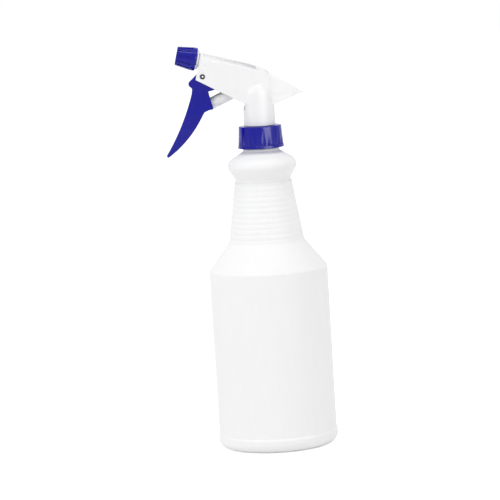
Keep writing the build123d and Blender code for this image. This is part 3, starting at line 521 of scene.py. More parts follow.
# ---- workbench
class Piece:
    """One new piece while it is on the bench: operators shape it, and settle() puts it in place."""

    def __init__(self, name: str) -> None:
        """Starts the piece as a single point at the origin, in edit mode.

        Args:
            name: the piece's name.
        """
        bpy.ops.object.select_all(action="DESELECT")
        bpy.ops.mesh.primitive_plane_add(size=MM)
        self.body = bpy.context.object
        self.body.name = self.body.data.name = name
        bpy.ops.object.mode_set(mode="EDIT")
        bpy.ops.mesh.select_mode(type="VERT")
        bpy.ops.mesh.merge(type="CENTER")

    @classmethod
    def turned(cls, name: str, corners: Iterable[Corner], steps: int) -> "Piece":
        """Starts a piece as an outline with rounded corners, spun about Z in a number of steps."""
        return cls(name).trace(rounded(corners)).spin(steps)

    @classmethod
    def plate(cls, name: str, line: list[Point], half_width: float) -> "Piece":
        """Starts a piece as a flat side view, given a width to both sides of the XZ plane.

        Args:
            name: the piece's name.
            line: the corners of the side view.
            half_width: in millimetres.

        Returns:
            The piece, in object mode.
        """
        piece = cls(name).trace([*line, line[0]])
        bpy.ops.mesh.edge_face_add()
        return piece.widen(half_width).close()

    @classmethod
    def copied(cls, name: str, node: str) -> "Piece":
        """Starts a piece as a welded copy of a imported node.

        Args:
            name: the piece's name.
            node: the node's name.

        Returns:
            The piece, in object mode.
        """
        piece = cls.__new__(cls)
        piece.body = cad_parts[node].copy()
        piece.body.data = piece.body.data.copy()
        piece.body.name = piece.body.data.name = name
        for key in list(piece.body.keys()):
            del piece.body[key]
        bpy.context.scene.collection.objects.link(piece.body)
        piece.body.data.materials.clear()
        piece.take()
        bpy.ops.object.mode_set(mode="EDIT")
        return piece.close()

    def take(self, *others: "Piece") -> None:
        """Selects this piece as the active one, and nothing else.

        Args:
            others: pieces that are selected with it.
        """
        bpy.ops.object.select_all(action="DESELECT")
        for piece in (*others, self):
            piece.body.select_set(True)
        bpy.context.view_layer.objects.active = self.body

    def trace(self, line: list[Point]) -> "Piece":
        """Draws a line in the XZ plane by extruding the point along it.

        Args:
            line: the points to follow, in millimetres.

        Returns:
            The piece.
        """
        here = (0.0, 0.0)
        for i, there in enumerate(line):
            step = ((there[0] - here[0]) * MM, 0.0, (there[1] - here[1]) * MM)
            if i == 0:
                bpy.ops.transform.translate(value=step)
            else:
                bpy.ops.mesh.extrude_vertices_move(TRANSFORM_OT_translate={"value": step})
            here = there
        bpy.ops.mesh.select_all(action="SELECT")
        bpy.ops.mesh.remove_doubles(threshold=WELD)
        return self

    def spin(self, steps: int) -> "Piece":
        """Spins the traced line about Z into a closed shell, and leaves edit mode.

        Args:
            steps: how many faces go round.

        Returns:
            The piece.
        """
        bpy.ops.mesh.select_all(action="SELECT")
        bpy.ops.mesh.spin(steps=steps, angle=2 * pi, center=(0, 0, 0), axis=(0, 0, 1))
        return self.close()

    def widen(self, half_width: float) -> "Piece":
        """Extrudes the traced line or face to both sides of the XZ plane.

        Args:
            half_width: how far to each side, in millimetres.

        Returns:
            The piece.
        """
        bpy.ops.mesh.select_all(action="SELECT")
        bpy.ops.transform.translate(value=(0.0, -half_width * MM, 0.0))
        across = (0.0, 2 * half_width * MM, 0.0)
        bpy.ops.mesh.extrude_region_move(TRANSFORM_OT_translate={"value": across})
        return self

    def close(self) -> "Piece":
        """Welds the seams, turns the faces outwards and leaves edit mode.

        Returns:
            The piece.
        """
        bpy.ops.mesh.select_all(action="SELECT")
        bpy.ops.mesh.remove_doubles(threshold=WELD)
        bpy.ops.mesh.normals_make_consistent(inside=False)
        bpy.ops.object.mode_set(mode="OBJECT")
        return self

    def move(self, place: Matrix) -> "Piece":
        """Moves the piece.

        Args:
            place: what its vertices are transformed by, in metres.

        Returns:
            The piece.
        """
        self.take()
        self.body.matrix_world = place
        bpy.ops.object.transform_apply(location=True, rotation=True, scale=True)
        return self

    def modify(self, kind: str, **settings) -> "Piece":
        """Adds a modifier and applies it.

        Args:
            kind: the modifier's type name.
            settings: its settings.

        Returns:
            The piece.
        """
        self.take()
        made = self.body.modifiers.new(kind.lower(), kind)
        for name, value in settings.items():
            setattr(made, name, value)
        bpy.ops.object.modifier_apply(modifier=made.name)
        return self

    def soften(self, width: float, segments: int = 2, angle: float = 40.0) -> "Piece":
        """Rounds the sharp edges.

        Args:
            width: of the rounding, in millimetres.
            segments: how many faces it has.
            angle: how sharp an edge has to be, in degrees.

        Returns:
            The piece.
        """
        return self.modify(
            "BEVEL",
            width=width * MM,
            segments=segments,
            limit_method="ANGLE",
            angle_limit=radians(angle),
            miter_outer="MITER_ARC",
        )

    def combine(self, other: "Piece", operation: str) -> "Piece":
        """Applies a boolean operation with another piece, and throws the other away.

        Args:
            other: the other piece.
            operation: UNION or DIFFERENCE.

        Returns:
            The piece.
        """
        self.modify("BOOLEAN", operation=operation, object=other.body, solver="EXACT")
        bpy.data.objects.remove(other.body)
        return self

    def fuse(self, other: "Piece") -> "Piece":
        """Fuses another piece with this one."""
        return self.combine(other, "UNION")

    def cut(self, cutter: "Piece") -> "Piece":
        """Cuts another piece out of this one."""
        return self.combine(cutter, "DIFFERENCE")

    def join(self, other: "Piece") -> "Piece":
        """Makes another piece part of this one's mesh."""
        self.take(other)
        bpy.ops.object.join()
        return self

    def settle(
        self,
        body: Body,
        material: Material,
        stands_for: str = "",
        place: Matrix | None = None,
        crease: float = 35.0,
    ) -> bpy.types.Object:
        """Puts the finished piece in its place, dresses it and lets it ride on a body.

        Args:
            body: the body that it moves with.
            material: its finish.
            stands_for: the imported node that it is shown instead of.
            place: where it goes, if it was modelled upright at the origin.
            crease: edges sharper than this stay sharp, in degrees.

        Returns:
            The piece's object.
        """
        self.move(place or Matrix())
        bpy.ops.object.shade_smooth_by_angle(angle=radians(crease))
        self.modify("WEIGHTED_NORMAL", keep_sharp=True)
        if material.name not in self.body.data.materials:
            self.body.data.materials.append(material)
        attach(self.body, body.value)
        if stands_for:
            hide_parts(stands_for)
        faces = len(self.body.data.polygons)
        log.info("modelled %s, %d faces, on body %s", self.body.name, faces, body.value)
        return self.body


# ---- screw threads
@dataclass
class ScrewThread:
    """A right-handed ridge that winds up a neck or round the inside of a cap."""

    root: float = 12.5
    crest: float = 13.35
    pitch: float = 3.2
    turns: float = 1.6
    low: float = 226.0
    foot_half: float = 0.95
    crest_half: float = 0.35
    steps: int = 72  # in one turn
    fade: int = 8  # sections over which each end sinks into the wall

    def build(self, name: str) -> Piece:
        """Winds the ridge's outline up the helix and sinks its two ends.

        Args:
            name: the piece's name.

        Returns:
            The ridge.
        """
        outline = [
            (self.root, self.low - self.foot_half),
            (self.crest, self.low - self.crest_half),
            (self.crest, self.low + self.crest_half),
            (self.root, self.low + self.foot_half),
        ]
        ridge = Piece(name).trace(outline + outline[:1])
        bpy.ops.object.mode_set(mode="OBJECT")
        count = round(self.steps * self.turns)
        ridge.modify(
            "SCREW",
            angle=2 * pi * self.turns,
            screw_offset=self.pitch * self.turns * MM,
            steps=count,
            render_steps=count,
            use_merge_vertices=False,
        )
        self.sink_ends(ridge, len(outline))
        bpy.ops.object.mode_set(mode="EDIT")
        bpy.ops.mesh.select_all(action="DESELECT")
        bpy.ops.mesh.select_mode(type="EDGE")
        bpy.ops.mesh.select_non_manifold()
        bpy.ops.mesh.fill_holes(sides=len(outline))
        return ridge.close()

    def sink_ends(self, ridge: Piece, corners: int) -> None:
        """Draws the last sections at both ends into the wall.

        Args:
            ridge: the wound ridge.
            corners: how many corners its outline has.
        """
        total = len(ridge.body.data.vertices) // corners
        sink = (self.root - self.crest) / self.crest
        for i in range(self.fade):
            scale = 1.0 + sink * (1 - i / self.fade) ** 2
            chosen = set(range(i * corners, (i + 1) * corners))
            chosen |= set(range((total - 1 - i) * corners, (total - i) * corners))
            for vertex in ridge.body.data.vertices:
                vertex.select = vertex.index in chosen
            bpy.ops.object.mode_set(mode="EDIT")
            bpy.ops.transform.resize(value=(scale, scale, 1.0), center_override=(0, 0, 0))
            bpy.ops.mesh.select_all(action="DESELECT")
            bpy.ops.object.mode_set(mode="OBJECT")


# ---- bottle
@dataclass
class Bottle:
    """The blow-moulded bottle, with its soft grip grooves, screw finish and mould lines."""

    outside: tuple[Corner, ...] = (
        (0.0, 3.0, 0.0), (26.0, 3.0, 2.0), (30.0, 0.0, 1.5), (44.8, 0.0, 7.0), (44.8, 9.5, 0.8),
        (44.1, 11.0, 0.8), (44.1, 132.9, 2.0), (28.1, 153.5, 4.0),
    )
    neck: tuple[Corner, ...] = (
        (21.6, 196.3, 0.5), (20.6, 197.5, 0.6), (20.6, 200.4, 2.0), (25.5, 208.3, 6.0),
        (25.5, 212.4, 5.0), (22.9, 215.4, 5.0), (13.4, 220.9, 1.4), (13.4, 222.6, 0.3),
        (12.6, 222.6, 0.3), (12.6, 235.5, 0.5),
    )
    inside: tuple[Corner, ...] = (
        (11.4, 235.5, 0.5), (11.4, 220.4, 1.5), (21.6, 214.6, 4.0), (24.3, 211.6, 4.0),
        (24.3, 208.8, 4.0), (19.5, 201.2, 3.0), (19.5, 197.6, 1.0), (26.9, 154.0, 4.0),
        (42.9, 132.2, 3.0), (42.9, 11.0, 2.0), (43.4, 1.3, 6.0), (30.4, 1.3, 1.5), (26.0, 4.2, 2.0),
        (0.0, 4.2, 0.0),
    )
    groove_count: int = 11
    groove_pitch: float = 3.93
    groove_top: float = 195.8
    groove_half: float = 1.35
    groove_depth: float = 0.24
    groove_steps: int = 4  # from its edge to its middle
    steps: int = 144
    seam_width: float = 0.35
    seam_height: float = 0.05
    pinch: tuple[Point, ...] = ((-19.0, 2.86), (19.0, 2.86), (18.0, 3.2), (-18.0, 3.2))
    pinch_half_width: float = 0.25
    pinch_edge: float = 0.08

    def grip(self) -> list[Point]:
        """Lays the soft grooves along the tapered grip.

        Returns:
            The points of the grip's wall, from its foot up.
        """
        foot, top = self.outside[-1], self.neck[0]
        lean = (top[0] - foot[0]) / (top[1] - foot[1])
        line = []
        for i in reversed(range(self.groove_count)):
            middle = self.groove_top - self.groove_pitch * i
            for j in range(-self.groove_steps, self.groove_steps + 1):
                height = middle + self.groove_half * j / self.groove_steps
                dip = self.groove_depth * (1 + cos(pi * j / self.groove_steps)) / 2
                line.append((foot[0] + lean * (height - foot[1]) - dip, height))
        return line

    def build(self, material: Material) -> None:
        """Spins the bottle and adds its thread, mould lines and pinched line.

        Args:
            material: its plastic.
        """
        grip = self.grip()
        first, last = (*grip[0], 0.0), (*grip[-1], 0.0)
        line = rounded([*self.outside, first])[:-1] + grip
        line += rounded([last, *self.neck, *self.inside])[1:]
        shell = Piece("bottle_shell").trace(line).spin(self.steps)
        shell.join(ScrewThread().build("bottle_thread"))
        shell.settle(Body.BOTTLE, material, "bottle", crease=30.0)
        self.seam(rounded([*self.outside[5:7], first])).settle(Body.BOTTLE, material)
        pinch = Piece.plate("pinch_line", list(self.pinch), self.pinch_half_width)
        pinch.soften(self.pinch_edge).settle(Body.BOTTLE, material)

    def seam(self, line: list[Point]) -> Piece:
        """Makes the fine raised lines where the two halves of the mould met.

        Args:
            line: the wall that they follow.

        Returns:
            The lines, one on each side.
        """
        lines = []
        for name, side in (("mould_line_front", -1), ("mould_line_rear", 1)):
            strip = Piece(name).trace([(side * x, z) for x, z in line])
            strip.widen(self.seam_width / 2).close()
            strip.modify("SOLIDIFY", thickness=2 * self.seam_height * MM, offset=0.0)
            lines.append(strip)
        return lines[0].join(lines[1])


# ---- closure
@dataclass
class Closure:
    """The blue screw cap: tapered, with shallow flutes, a plain hem and an inner thread."""

    foot: Point = (17.2, 223.3)
    top: Point = (15.85, 239.5)
    hem: float = 225.1
    hem_step: float = 0.45
    hem_slope: Point = (0.25, 0.2)  # from the hem's edge down, and up
    bore: float = 14.35
    roof: float = 238.1
    hole: float = 9.3
    flute_low: float = 225.3
    flute_high: float = 231.9
    flutes: int = 24
    flute_depth: float = 0.75
    flute_radius: float = 2.8
    flute_overrun: float = 1.3  # how far its bar reaches, in lengths of the flute
    flute_steps: int = 32  # round its bar
    steps_per_flute: int = 8

    def build(self, material: Material) -> None:
        """Spins the cap, cuts its flutes and adds the thread.

        Args:
            material: its plastic.
        """
        taper = [(self.foot[0] - self.hem_step, self.foot[1]), self.top]
        corners = [
            (self.hole, self.roof, 0.0),
            (self.bore, self.roof, 0.4),
            (self.bore, self.foot[1], 0.25),
            (*self.foot, 0.2),
            (level(taper, self.hem) + self.hem_step, self.hem - self.hem_slope[0], 0.15),
            (level(taper, self.flute_low), self.hem + self.hem_slope[1], 0.0),
            (*self.top, 0.7),
            (self.hole, self.top[1], 0.2),
            (self.hole, self.roof, 0.0),
        ]
        cap = Piece.turned("closure_cap", corners, self.flutes * self.steps_per_flute)
        cap.cut(self.flute_cutters(taper))
        thread = ScrewThread(root=14.45, crest=13.55, low=226.6, turns=1.4)
        cap.join(thread.build("closure_thread"))
        cap.settle(Body.CLOSURE, material, "closure")

    def flute_cutters(self, taper: list[Point]) -> Piece:
        """A ring of round bars, each leaning so that its flute fades out at the top.

        Args:
            taper: the side of the cap, from its foot to its top.

        Returns:
            The bars, joined.
        """
        foot = Vector((level(taper, self.flute_low) - self.flute_depth, 0, self.flute_low))
        head = Vector((level(taper, self.flute_high), 0, self.flute_high))
        lean = (head - foot).normalized()
        outward = Vector((lean.z, 0.0, -lean.x))
        length = (head - foot).length * self.flute_overrun
        middle = foot + lean * length / 2 + outward * self.flute_radius
        tilt = Matrix.Rotation(atan2(lean.x, lean.z), 4, "Y")
        ends = [(0.0, -length / 2, 0.0), (0.0, length / 2, 0.0)]
        side = [(self.flute_radius, z, 0.0) for _, z, _ in ends]
        bars: Piece | None = None
        for number in range(self.flutes):
            turn = Matrix.Rotation(2 * pi * (number + 0.5) / self.flutes, 4, "Z")
            bar = Piece.turned("closure_flutes", [ends[0], *side, ends[1]], self.flute_steps)
            bar.move(turn @ Matrix.Translation(middle * MM) @ tilt)
            bars = bars.join(bar) if bars else bar
        return bars


# ---- nozzle
@dataclass
class Nozzle:
    """The blue spray cap: a short barrel with coarse grip ridges and a dished front."""

    corners: tuple[Corner, ...] = (
        (0.4, 56.6, 0.0), (0.4, 58.9, 0.0), (3.6, 58.9, 0.4), (3.6, 60.5, 0.3), (6.9, 60.5, 0.6),
        (8.6, 48.7, 0.5), (8.6, 45.9, 0.5), (8.0, 45.2, 0.3), (5.35, 45.2, 0.15), (5.35, 46.8, 0.0),
        (4.25, 46.8, 0.0), (4.25, 56.1, 0.0), (1.6, 56.1, 0.0), (1.6, 56.6, 0.0), (0.4, 56.6, 0.0),
    )
    ridges: int = 12
    columns: int = 10  # of faces, to one ridge and its groove
    groove_columns: int = 4
    groove_depth: float = 0.5
    groove_reach: Point = (47.7, 60.1)  # along the spray axis
    groove_radius: float = 6.6  # the faces inside it stay as they are
    least_face: float = 1e-7  # and so do faces smaller than this, in square metres
    edge: float = 0.2

    def build(self, material: Material) -> None:
        """Spins the cap and presses the grooves between its ridges.

        Args:
            material: its plastic.
        """
        cap = Piece.turned("nozzle_cap", self.corners, self.ridges * self.columns)
        bpy.ops.object.mode_set(mode="EDIT")
        bpy.ops.mesh.select_mode(type="FACE")
        bpy.ops.mesh.select_all(action="DESELECT")
        bpy.ops.object.mode_set(mode="OBJECT")
        for face in cap.body.data.polygons:
            face.select = self.in_groove(face)
        bpy.ops.object.mode_set(mode="EDIT")
        inwards = {"value": -self.groove_depth * MM, "use_even_offset": True}
        bpy.ops.mesh.extrude_region_shrink_fatten(TRANSFORM_OT_shrink_fatten=inwards)
        bpy.ops.object.mode_set(mode="OBJECT")
        cap.soften(self.edge, angle=50.0)
        cap.settle(Body.NOZZLE, material, "nozzle", SPRAY_AXIS)

    def in_groove(self, face: bpy.types.MeshPolygon) -> bool:
        """Says whether a face of the tapered wall lies in a groove.

        Args:
            face: a face of the cap.

        Returns:
            Whether it does.
        """
        x, y, z = face.center / MM
        low, high = self.groove_reach
        if not low < z < high or hypot(x, y) < self.groove_radius or face.area < self.least_face:
            return False
        share = (degrees(atan2(y, x)) % 360.0) / 360.0 * self.ridges
        return (share % 1.0) * self.columns < self.groove_columns


@dataclass
class CollarFlange:
    """The white flange round the collar, which the nozzle closes up to."""

    rear: float = 43.6  # along the spray axis
    front: float = 44.9
    bore: float = 5.25
    radius: float = 7.0
    rim: float = 0.3
    steps: int = 72

    def build(self, material: Material) -> None:
        """Spins the flange.

        Args:
            material: its plastic.
        """
        corners = [
            (self.bore, self.rear, 0.0),
            (self.bore, self.front, 0.0),
            (self.radius, self.front, self.rim),
            (self.radius, self.rear, self.rim),
            (self.bore, self.rear, 0.0),
        ]
        flange = Piece.turned("collar_flange", corners, self.steps)
        flange.settle(Body.SPRAYER, material, place=SPRAY_AXIS)


# ---- trigger
@dataclass
class Trigger:
    """The blue trigger: a curved blade with rounded edges, hollow behind, on a round hub."""

    front: tuple[Point, Point, Point] = ((-8.85, -12.6), (-17.4, -34.7), (-29.95, -57.1))
    tip: tuple[Point, Point] = ((-29.4, -58.25), (-28.0, -58.1))
    back: tuple[Point, Point] = ((-11.5, -43.2), (-2.2, -29.8))
    step: tuple[Corner, ...] = (
        (-2.2, -29.8, 0.0), (-0.1, -26.4, 2.0), (3.0, -25.0, 2.5), (6.7, -24.4, 0.5),
        (4.4, -15.4, 3.0), (3.3, -11.3, 0.8), (8.4, -10.3, 0.3), (8.4, -7.0, 1.2),
        (3.9, -2.25, 0.0),
    )
    hub: tuple[Point, Point, Point] = ((3.9, -2.25), (2.25, 3.9), (-3.9, 2.25))
    hook: tuple[Corner, ...] = (
        (-3.9, 2.25, 0.0), (-7.5, -1.2, 2.0), (-10.65, -3.8, 1.4), (-10.65, -6.1, 1.3),
        (-8.2, -8.5, 1.5), (-8.85, -12.6, 0.0),
    )
    width: tuple[Corner, ...] = (
        (6.3, 14.0, 0.0), (6.3, -14.0, 20.0), (8.2, -26.0, 12.0), (8.2, -40.0, 20.0),
        (5.0, -59.0, 0.0),
    )
    blade_steps: int = 24
    tip_steps: int = 5
    hub_steps: int = 20
    band: float = 2.0  # height over which the width changes evenly
    band_start: float = 0.013  # keeps the bands clear of the outline's corners
    same_height: float = 0.0006
    edge: float = 1.1
    inner_edge: float = 0.3
    front_wall: float = 1.8
    side_wall: float = 1.5
    throat: Point = (-9.1, -6.0)  # where the hollow behind the hook ends
    back_reach: float = 12.0  # behind the trigger
    hollows: tuple[Point, ...] = ((-52.0, -27.0), (-14.0, -6.0))

    def outline(self) -> list[Point]:
        """Draws the side view, clockwise from the neck down the front.

        Returns:
            Its points from the pivot, the first one repeated at the end.
        """
        line = arc(*self.front, self.blade_steps)[:-1]
        line += arc(self.front[2], *self.tip, self.tip_steps)[:-1]
        line += arc(self.tip[1], *self.back, self.blade_steps)[:-1]
        line += rounded(self.step)[:-1] + arc(*self.hub, self.hub_steps)[:-1]
        return line + rounded(self.hook)

    def slab(self, name: str, line: list[Point], inset: float) -> Piece:
        """Gives a side view its width, which changes with height.

        Args:
            name: the piece's name.
            line: the side view.
            inset: how much narrower than the trigger it is, on each side.

        Returns:
            The slab.
        """
        width = rounded(self.width)
        piece = Piece(name).trace(line)
        bpy.ops.mesh.edge_face_add()
        low, high = min(z for _, z in line), max(z for _, z in line)
        for i in range(1, int((high - low) / self.band)):
            bpy.ops.mesh.select_all(action="SELECT")
            cut = (0.0, 0.0, (low + self.band * i + self.band_start) * MM)
            bpy.ops.mesh.bisect(plane_co=cut, plane_no=(0.0, 0.0, 1.0))
        piece.widen(1.0)
        mesh = bmesh.from_edit_mesh(piece.body.data)
        heights = sorted({round(vertex.co.z / MM, 3) for vertex in mesh.verts})
        for height in heights:
            mesh = bmesh.from_edit_mesh(piece.body.data)
            for vertex in mesh.verts:
                vertex.select = abs(vertex.co.z / MM - height) < self.same_height
            mesh.select_flush_mode()
            bmesh.update_edit_mesh(piece.body.data)
            scale = level(width, height) - inset
            bpy.ops.transform.resize(value=(1.0, scale, 1.0), center_override=(0, 0, 0))
        return piece.close()

    def build(self, material: Material) -> None:
        """Shapes the blade, rounds its edges and hollows it from behind.

        Args:
            material: its plastic.
        """
        lever = self.slab("trigger_lever", self.outline(), 0.0)
        lever.soften(self.edge, segments=4, angle=50.0)
        blade = reversed(arc(*self.front, self.blade_steps))
        face = [(x + self.front_wall, z) for x, z in blade] + [self.throat]
        for low, high in self.hollows:
            inner = between(face, low, high) + [(self.back_reach, high), (self.back_reach, low)]
            lever.cut(self.slab("hollow", inner + inner[:1], self.side_wall))
        lever.soften(self.inner_edge, angle=55.0)
        lever.settle(Body.TRIGGER, material, "trigger", Matrix.Translation(PIVOT))


# ---- springs
@dataclass
class Spring:
    """A coil spring, which a sliding part presses shorter; here it is copied at its rest length."""

    node: str
    joint: str
    slope: float  # of the way that it is pressed, from +X towards +Z
    travel: float

    def build(self, material: Material) -> None:
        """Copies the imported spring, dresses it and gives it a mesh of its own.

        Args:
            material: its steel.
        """
        coil = Piece.copied(f"{self.node}_coil", self.node)
        coil = coil.settle(Body.SPRAYER, material, self.node)
        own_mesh(coil)


SPRINGS = (
    Spring("piston_spring", "piston_stroke", radians(24.0), 7.7),
    Spring("valve_spring", "discharge_valve_lift", pi - SPRAY_SLOPE, 1.0),
)


# ---- shroud
@dataclass
class Shroud:
    """The white shroud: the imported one, with a wider, grooved brow and a straighter column."""

    mouth: float = 235.5  # height that the rises below are measured from
    axis_rise: float = 44.5
    front: float = 43.1  # along the spray axis
    top: float = 5.75  # above the spray axis
    half_width: float = 6.2
    brow_edge: float = 0.6
    collar: tuple[Point, ...] = ((45.1, -9.0), (45.1, 5.4), (36.0, 5.4), (36.0, -9.0))
    collar_half_width: float = 5.4
    spine_drop: float = 0.45  # below the top line
    spine_foot: tuple[Point, ...] = ((1.6, 40.0), (-50.0, 40.0))
    spine_half_width: float = 4.9
    bend: Point = (-4.5, 50.15)  # where the top line turns down, from the column axis
    bend_rounding: float = 60.0
    rear: Point = (1.5, 47.6)
    seat: tuple[Point, ...] = (
        (1.5, 44.6), (-15.6, 49.2), (-31.7, 53.0), (-38.9, 49.8), (-43.3, 49.1),
    )
    groove: Point = (0.45, 2.7)  # below the top line
    groove_ends: Point = (-38.2, -0.6)
    groove_floor: Point = (5.7, 4.3)  # half width between its floors, at both ends
    column_lift: float = 0.02  # how far the skin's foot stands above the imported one
    column_rise: float = 22.5  # from the column's foot to its dome
    column_radii: Point = (11.7, 11.4)  # at the foot and at the dome
    column_steps: int = 96
    dome: Point = (11.3, 11.2)  # its height and rounding
    column_room: Point = (10.9, 9.9)  # radii inside the skin
    dome_room: Point = (8.1, 7.6)
    cheek_room: tuple[Point, ...] = ((-13.0, 21.0), (-13.0, 42.0), (13.0, 42.0), (13.0, 25.5))
    cheek_half_width: float = 8.0
    window: tuple[Point, ...] = ((-13.0, 16.8), (-13.0, 21.6), (-5.0, 21.6), (-5.0, 16.8))
    window_half_width: float = 5.8

    def point(self, distance: float, offset: float) -> Point:
        """A point of the side view, given from the spray axis.

        Args:
            distance: forwards along the spray axis from the column axis.
            offset: above the spray axis.

        Returns:
            The point.
        """
        x = -distance * cos(SPRAY_SLOPE) + offset * sin(SPRAY_SLOPE)
        z = self.axis_rise + distance * sin(SPRAY_SLOPE) + offset * cos(SPRAY_SLOPE)
        return x, self.mouth + z

    def raised(self, points: Iterable[Point]) -> list[Point]:
        """Gives points that are measured from the mouth their height above the floor."""
        return [(x, self.mouth + z) for x, z in points]

    def top_line(self, drop: float = 0.0) -> list[Point]:
        """The line along the top of the brow, from the front to the rear.

        Args:
            drop: how far below the top it runs.

        Returns:
            Its points.
        """
        front = self.point(self.front, self.top - drop)
        bend, rear = self.raised([self.bend, self.rear])
        line = [(*front, 0.0), (bend[0], bend[1] - drop, self.bend_rounding)]
        return rounded([*line, (rear[0], rear[1] - drop, 0.0)])

    def brow(self) -> Piece:
        """The wider front part: two walls and a roof that the collar passes under.

        Returns:
            The brow.
        """
        outline = self.top_line() + self.raised(self.seat)
        spine = self.top_line(self.spine_drop) + self.raised(self.spine_foot)
        collar = [self.point(*corner) for corner in self.collar]
        brow = Piece.plate("shroud_brow", outline, self.half_width)
        brow.soften(self.brow_edge, segments=4, angle=60.0)
        brow.cut(Piece.plate("over_spine", spine, self.spine_half_width))
        return brow.cut(Piece.plate("over_collar", collar, self.collar_half_width))

    def groove_cutter(self, side: int) -> Piece:
        """What cuts the groove into one side of the brow; it gets deeper towards the rear.

        Args:
            side: 1 for +Y, -1 for -Y.

        Returns:
            The cutter.
        """
        first, last = self.groove_ends
        high, low = (between(swapped(self.top_line(drop)), first, last) for drop in self.groove)
        cutter = Piece.plate("groove", swapped(high + low[::-1]), self.half_width)
        deep, shallow = self.groove_floor
        lean = atan2(deep - shallow, last - first)
        hinge = Matrix.Translation((first * MM, side * deep * MM, 0.0))
        turn = hinge @ Matrix.Rotation(-side * lean, 4, "Z") @ hinge.inverted()
        aside = Matrix.Translation((0.0, side * (deep + self.half_width) * MM, 0.0))
        return cutter.move(turn @ aside)

    def column(self) -> Piece:
        """The skin that straightens the column and widens its dome.

        Returns:
            The skin, open between the cheeks and at the latch window.
        """
        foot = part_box("shroud")[0].z / MM + self.column_lift
        turn = foot + self.column_rise
        outer, inner = turn + self.dome[0], turn + self.dome_room[0]
        corners = [
            (self.column_room[0], foot, 0.0),
            (self.column_radii[0], foot, 0.0),
            (self.column_radii[1], outer, self.dome[1]),
            (0.0, outer, 0.0),
            (0.0, inner, 0.0),
            (self.column_room[1], inner, self.dome_room[1]),
            (self.column_room[1], turn, 0.0),
            (self.column_room[0], foot, 0.0),
        ]
        skin = Piece.turned("column_skin", corners, self.column_steps)
        skin.cut(Piece.plate("cheek_room", self.raised(self.cheek_room), self.cheek_half_width))
        return skin.cut(Piece.plate("window", self.raised(self.window), self.window_half_width))

    def build(self, material: Material) -> None:
        """Fuses the brow and the column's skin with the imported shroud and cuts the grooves.

        Args:
            material: its plastic.
        """
        shell = Piece.copied("shroud_shell", "shroud").fuse(self.brow()).fuse(self.column())
        for side in (-1, 1):
            shell.cut(self.groove_cutter(side))
        shell.settle(Body.SPRAYER, material, "shroud", crease=30.0)


# ---- pivot pin
@dataclass
class PivotPin:
    """The steel pin that the trigger turns on, its ends painted: a dark reflection round a bright
    highlight.
    """

    end: tuple[Corner, ...] = (
        (0.0, 7.75, 0.0), (0.45, 7.67, 0.3), (0.75, 7.45, 0.0), (0.9, 7.45, 0.0),
        (1.05, 7.8, 0.15), (1.8, 7.8, 0.45),
    )
    centre: float = 0.75  # radius of the painted highlight at each end's centre
    steps: int = 48

    def build(self, steel: Material, bright: Material) -> None:
        """Spins the pin and paints a highlight on its two centres in bright steel.

        Args:
            steel: the finish of the pin, near-black as a painted dark reflection.
            bright: the finish of its centres, bright steel as a painted highlight.
        """
        corners = [*self.end, *((x, -z, r) for x, z, r in reversed(self.end))]
        pin = Piece.turned("pivot_pin_turned", corners, self.steps)
        for material in (steel, bright):
            pin.body.data.materials.append(material)
        # the faces at each end's centre take the bright steel: a painted highlight
        for face in pin.body.data.polygons:
            if hypot(face.center.x, face.center.y) < self.centre * MM:
                face.material_index = 1
        place = Matrix.Translation(PIVOT) @ Matrix.Rotation(radians(90.0), 4, "X")
        pin.settle(Body.SPRAYER, steel, "pivot_pin", place)


# ---- stage, light, camera
@dataclass
class Lamp:
    """A soft lamp that points at the bottle."""

    name: str
    place: Point3  # in metres
    size: Point  # in metres
    power: float  # in watts
    gloss_only: bool = False  # it is mirrored in gloss, but adds no light

    def build(self, aim: Vector) -> None:
        """Hangs the lamp.

        Args:
            aim: the place that it points at, in metres.
        """
        light = bpy.data.lights.new(self.name, "AREA")
        light.shape = "RECTANGLE"
        light.energy = self.power
        light.size, light.size_y = self.size
        lamp = bpy.data.objects.new(self.name, light)
        lamp.location = self.place
        lamp.rotation_euler = (aim - lamp.location).to_track_quat("-Z", "Y").to_euler()
        lamp.visible_diffuse = not self.gloss_only
        bpy.context.scene.collection.objects.link(lamp)


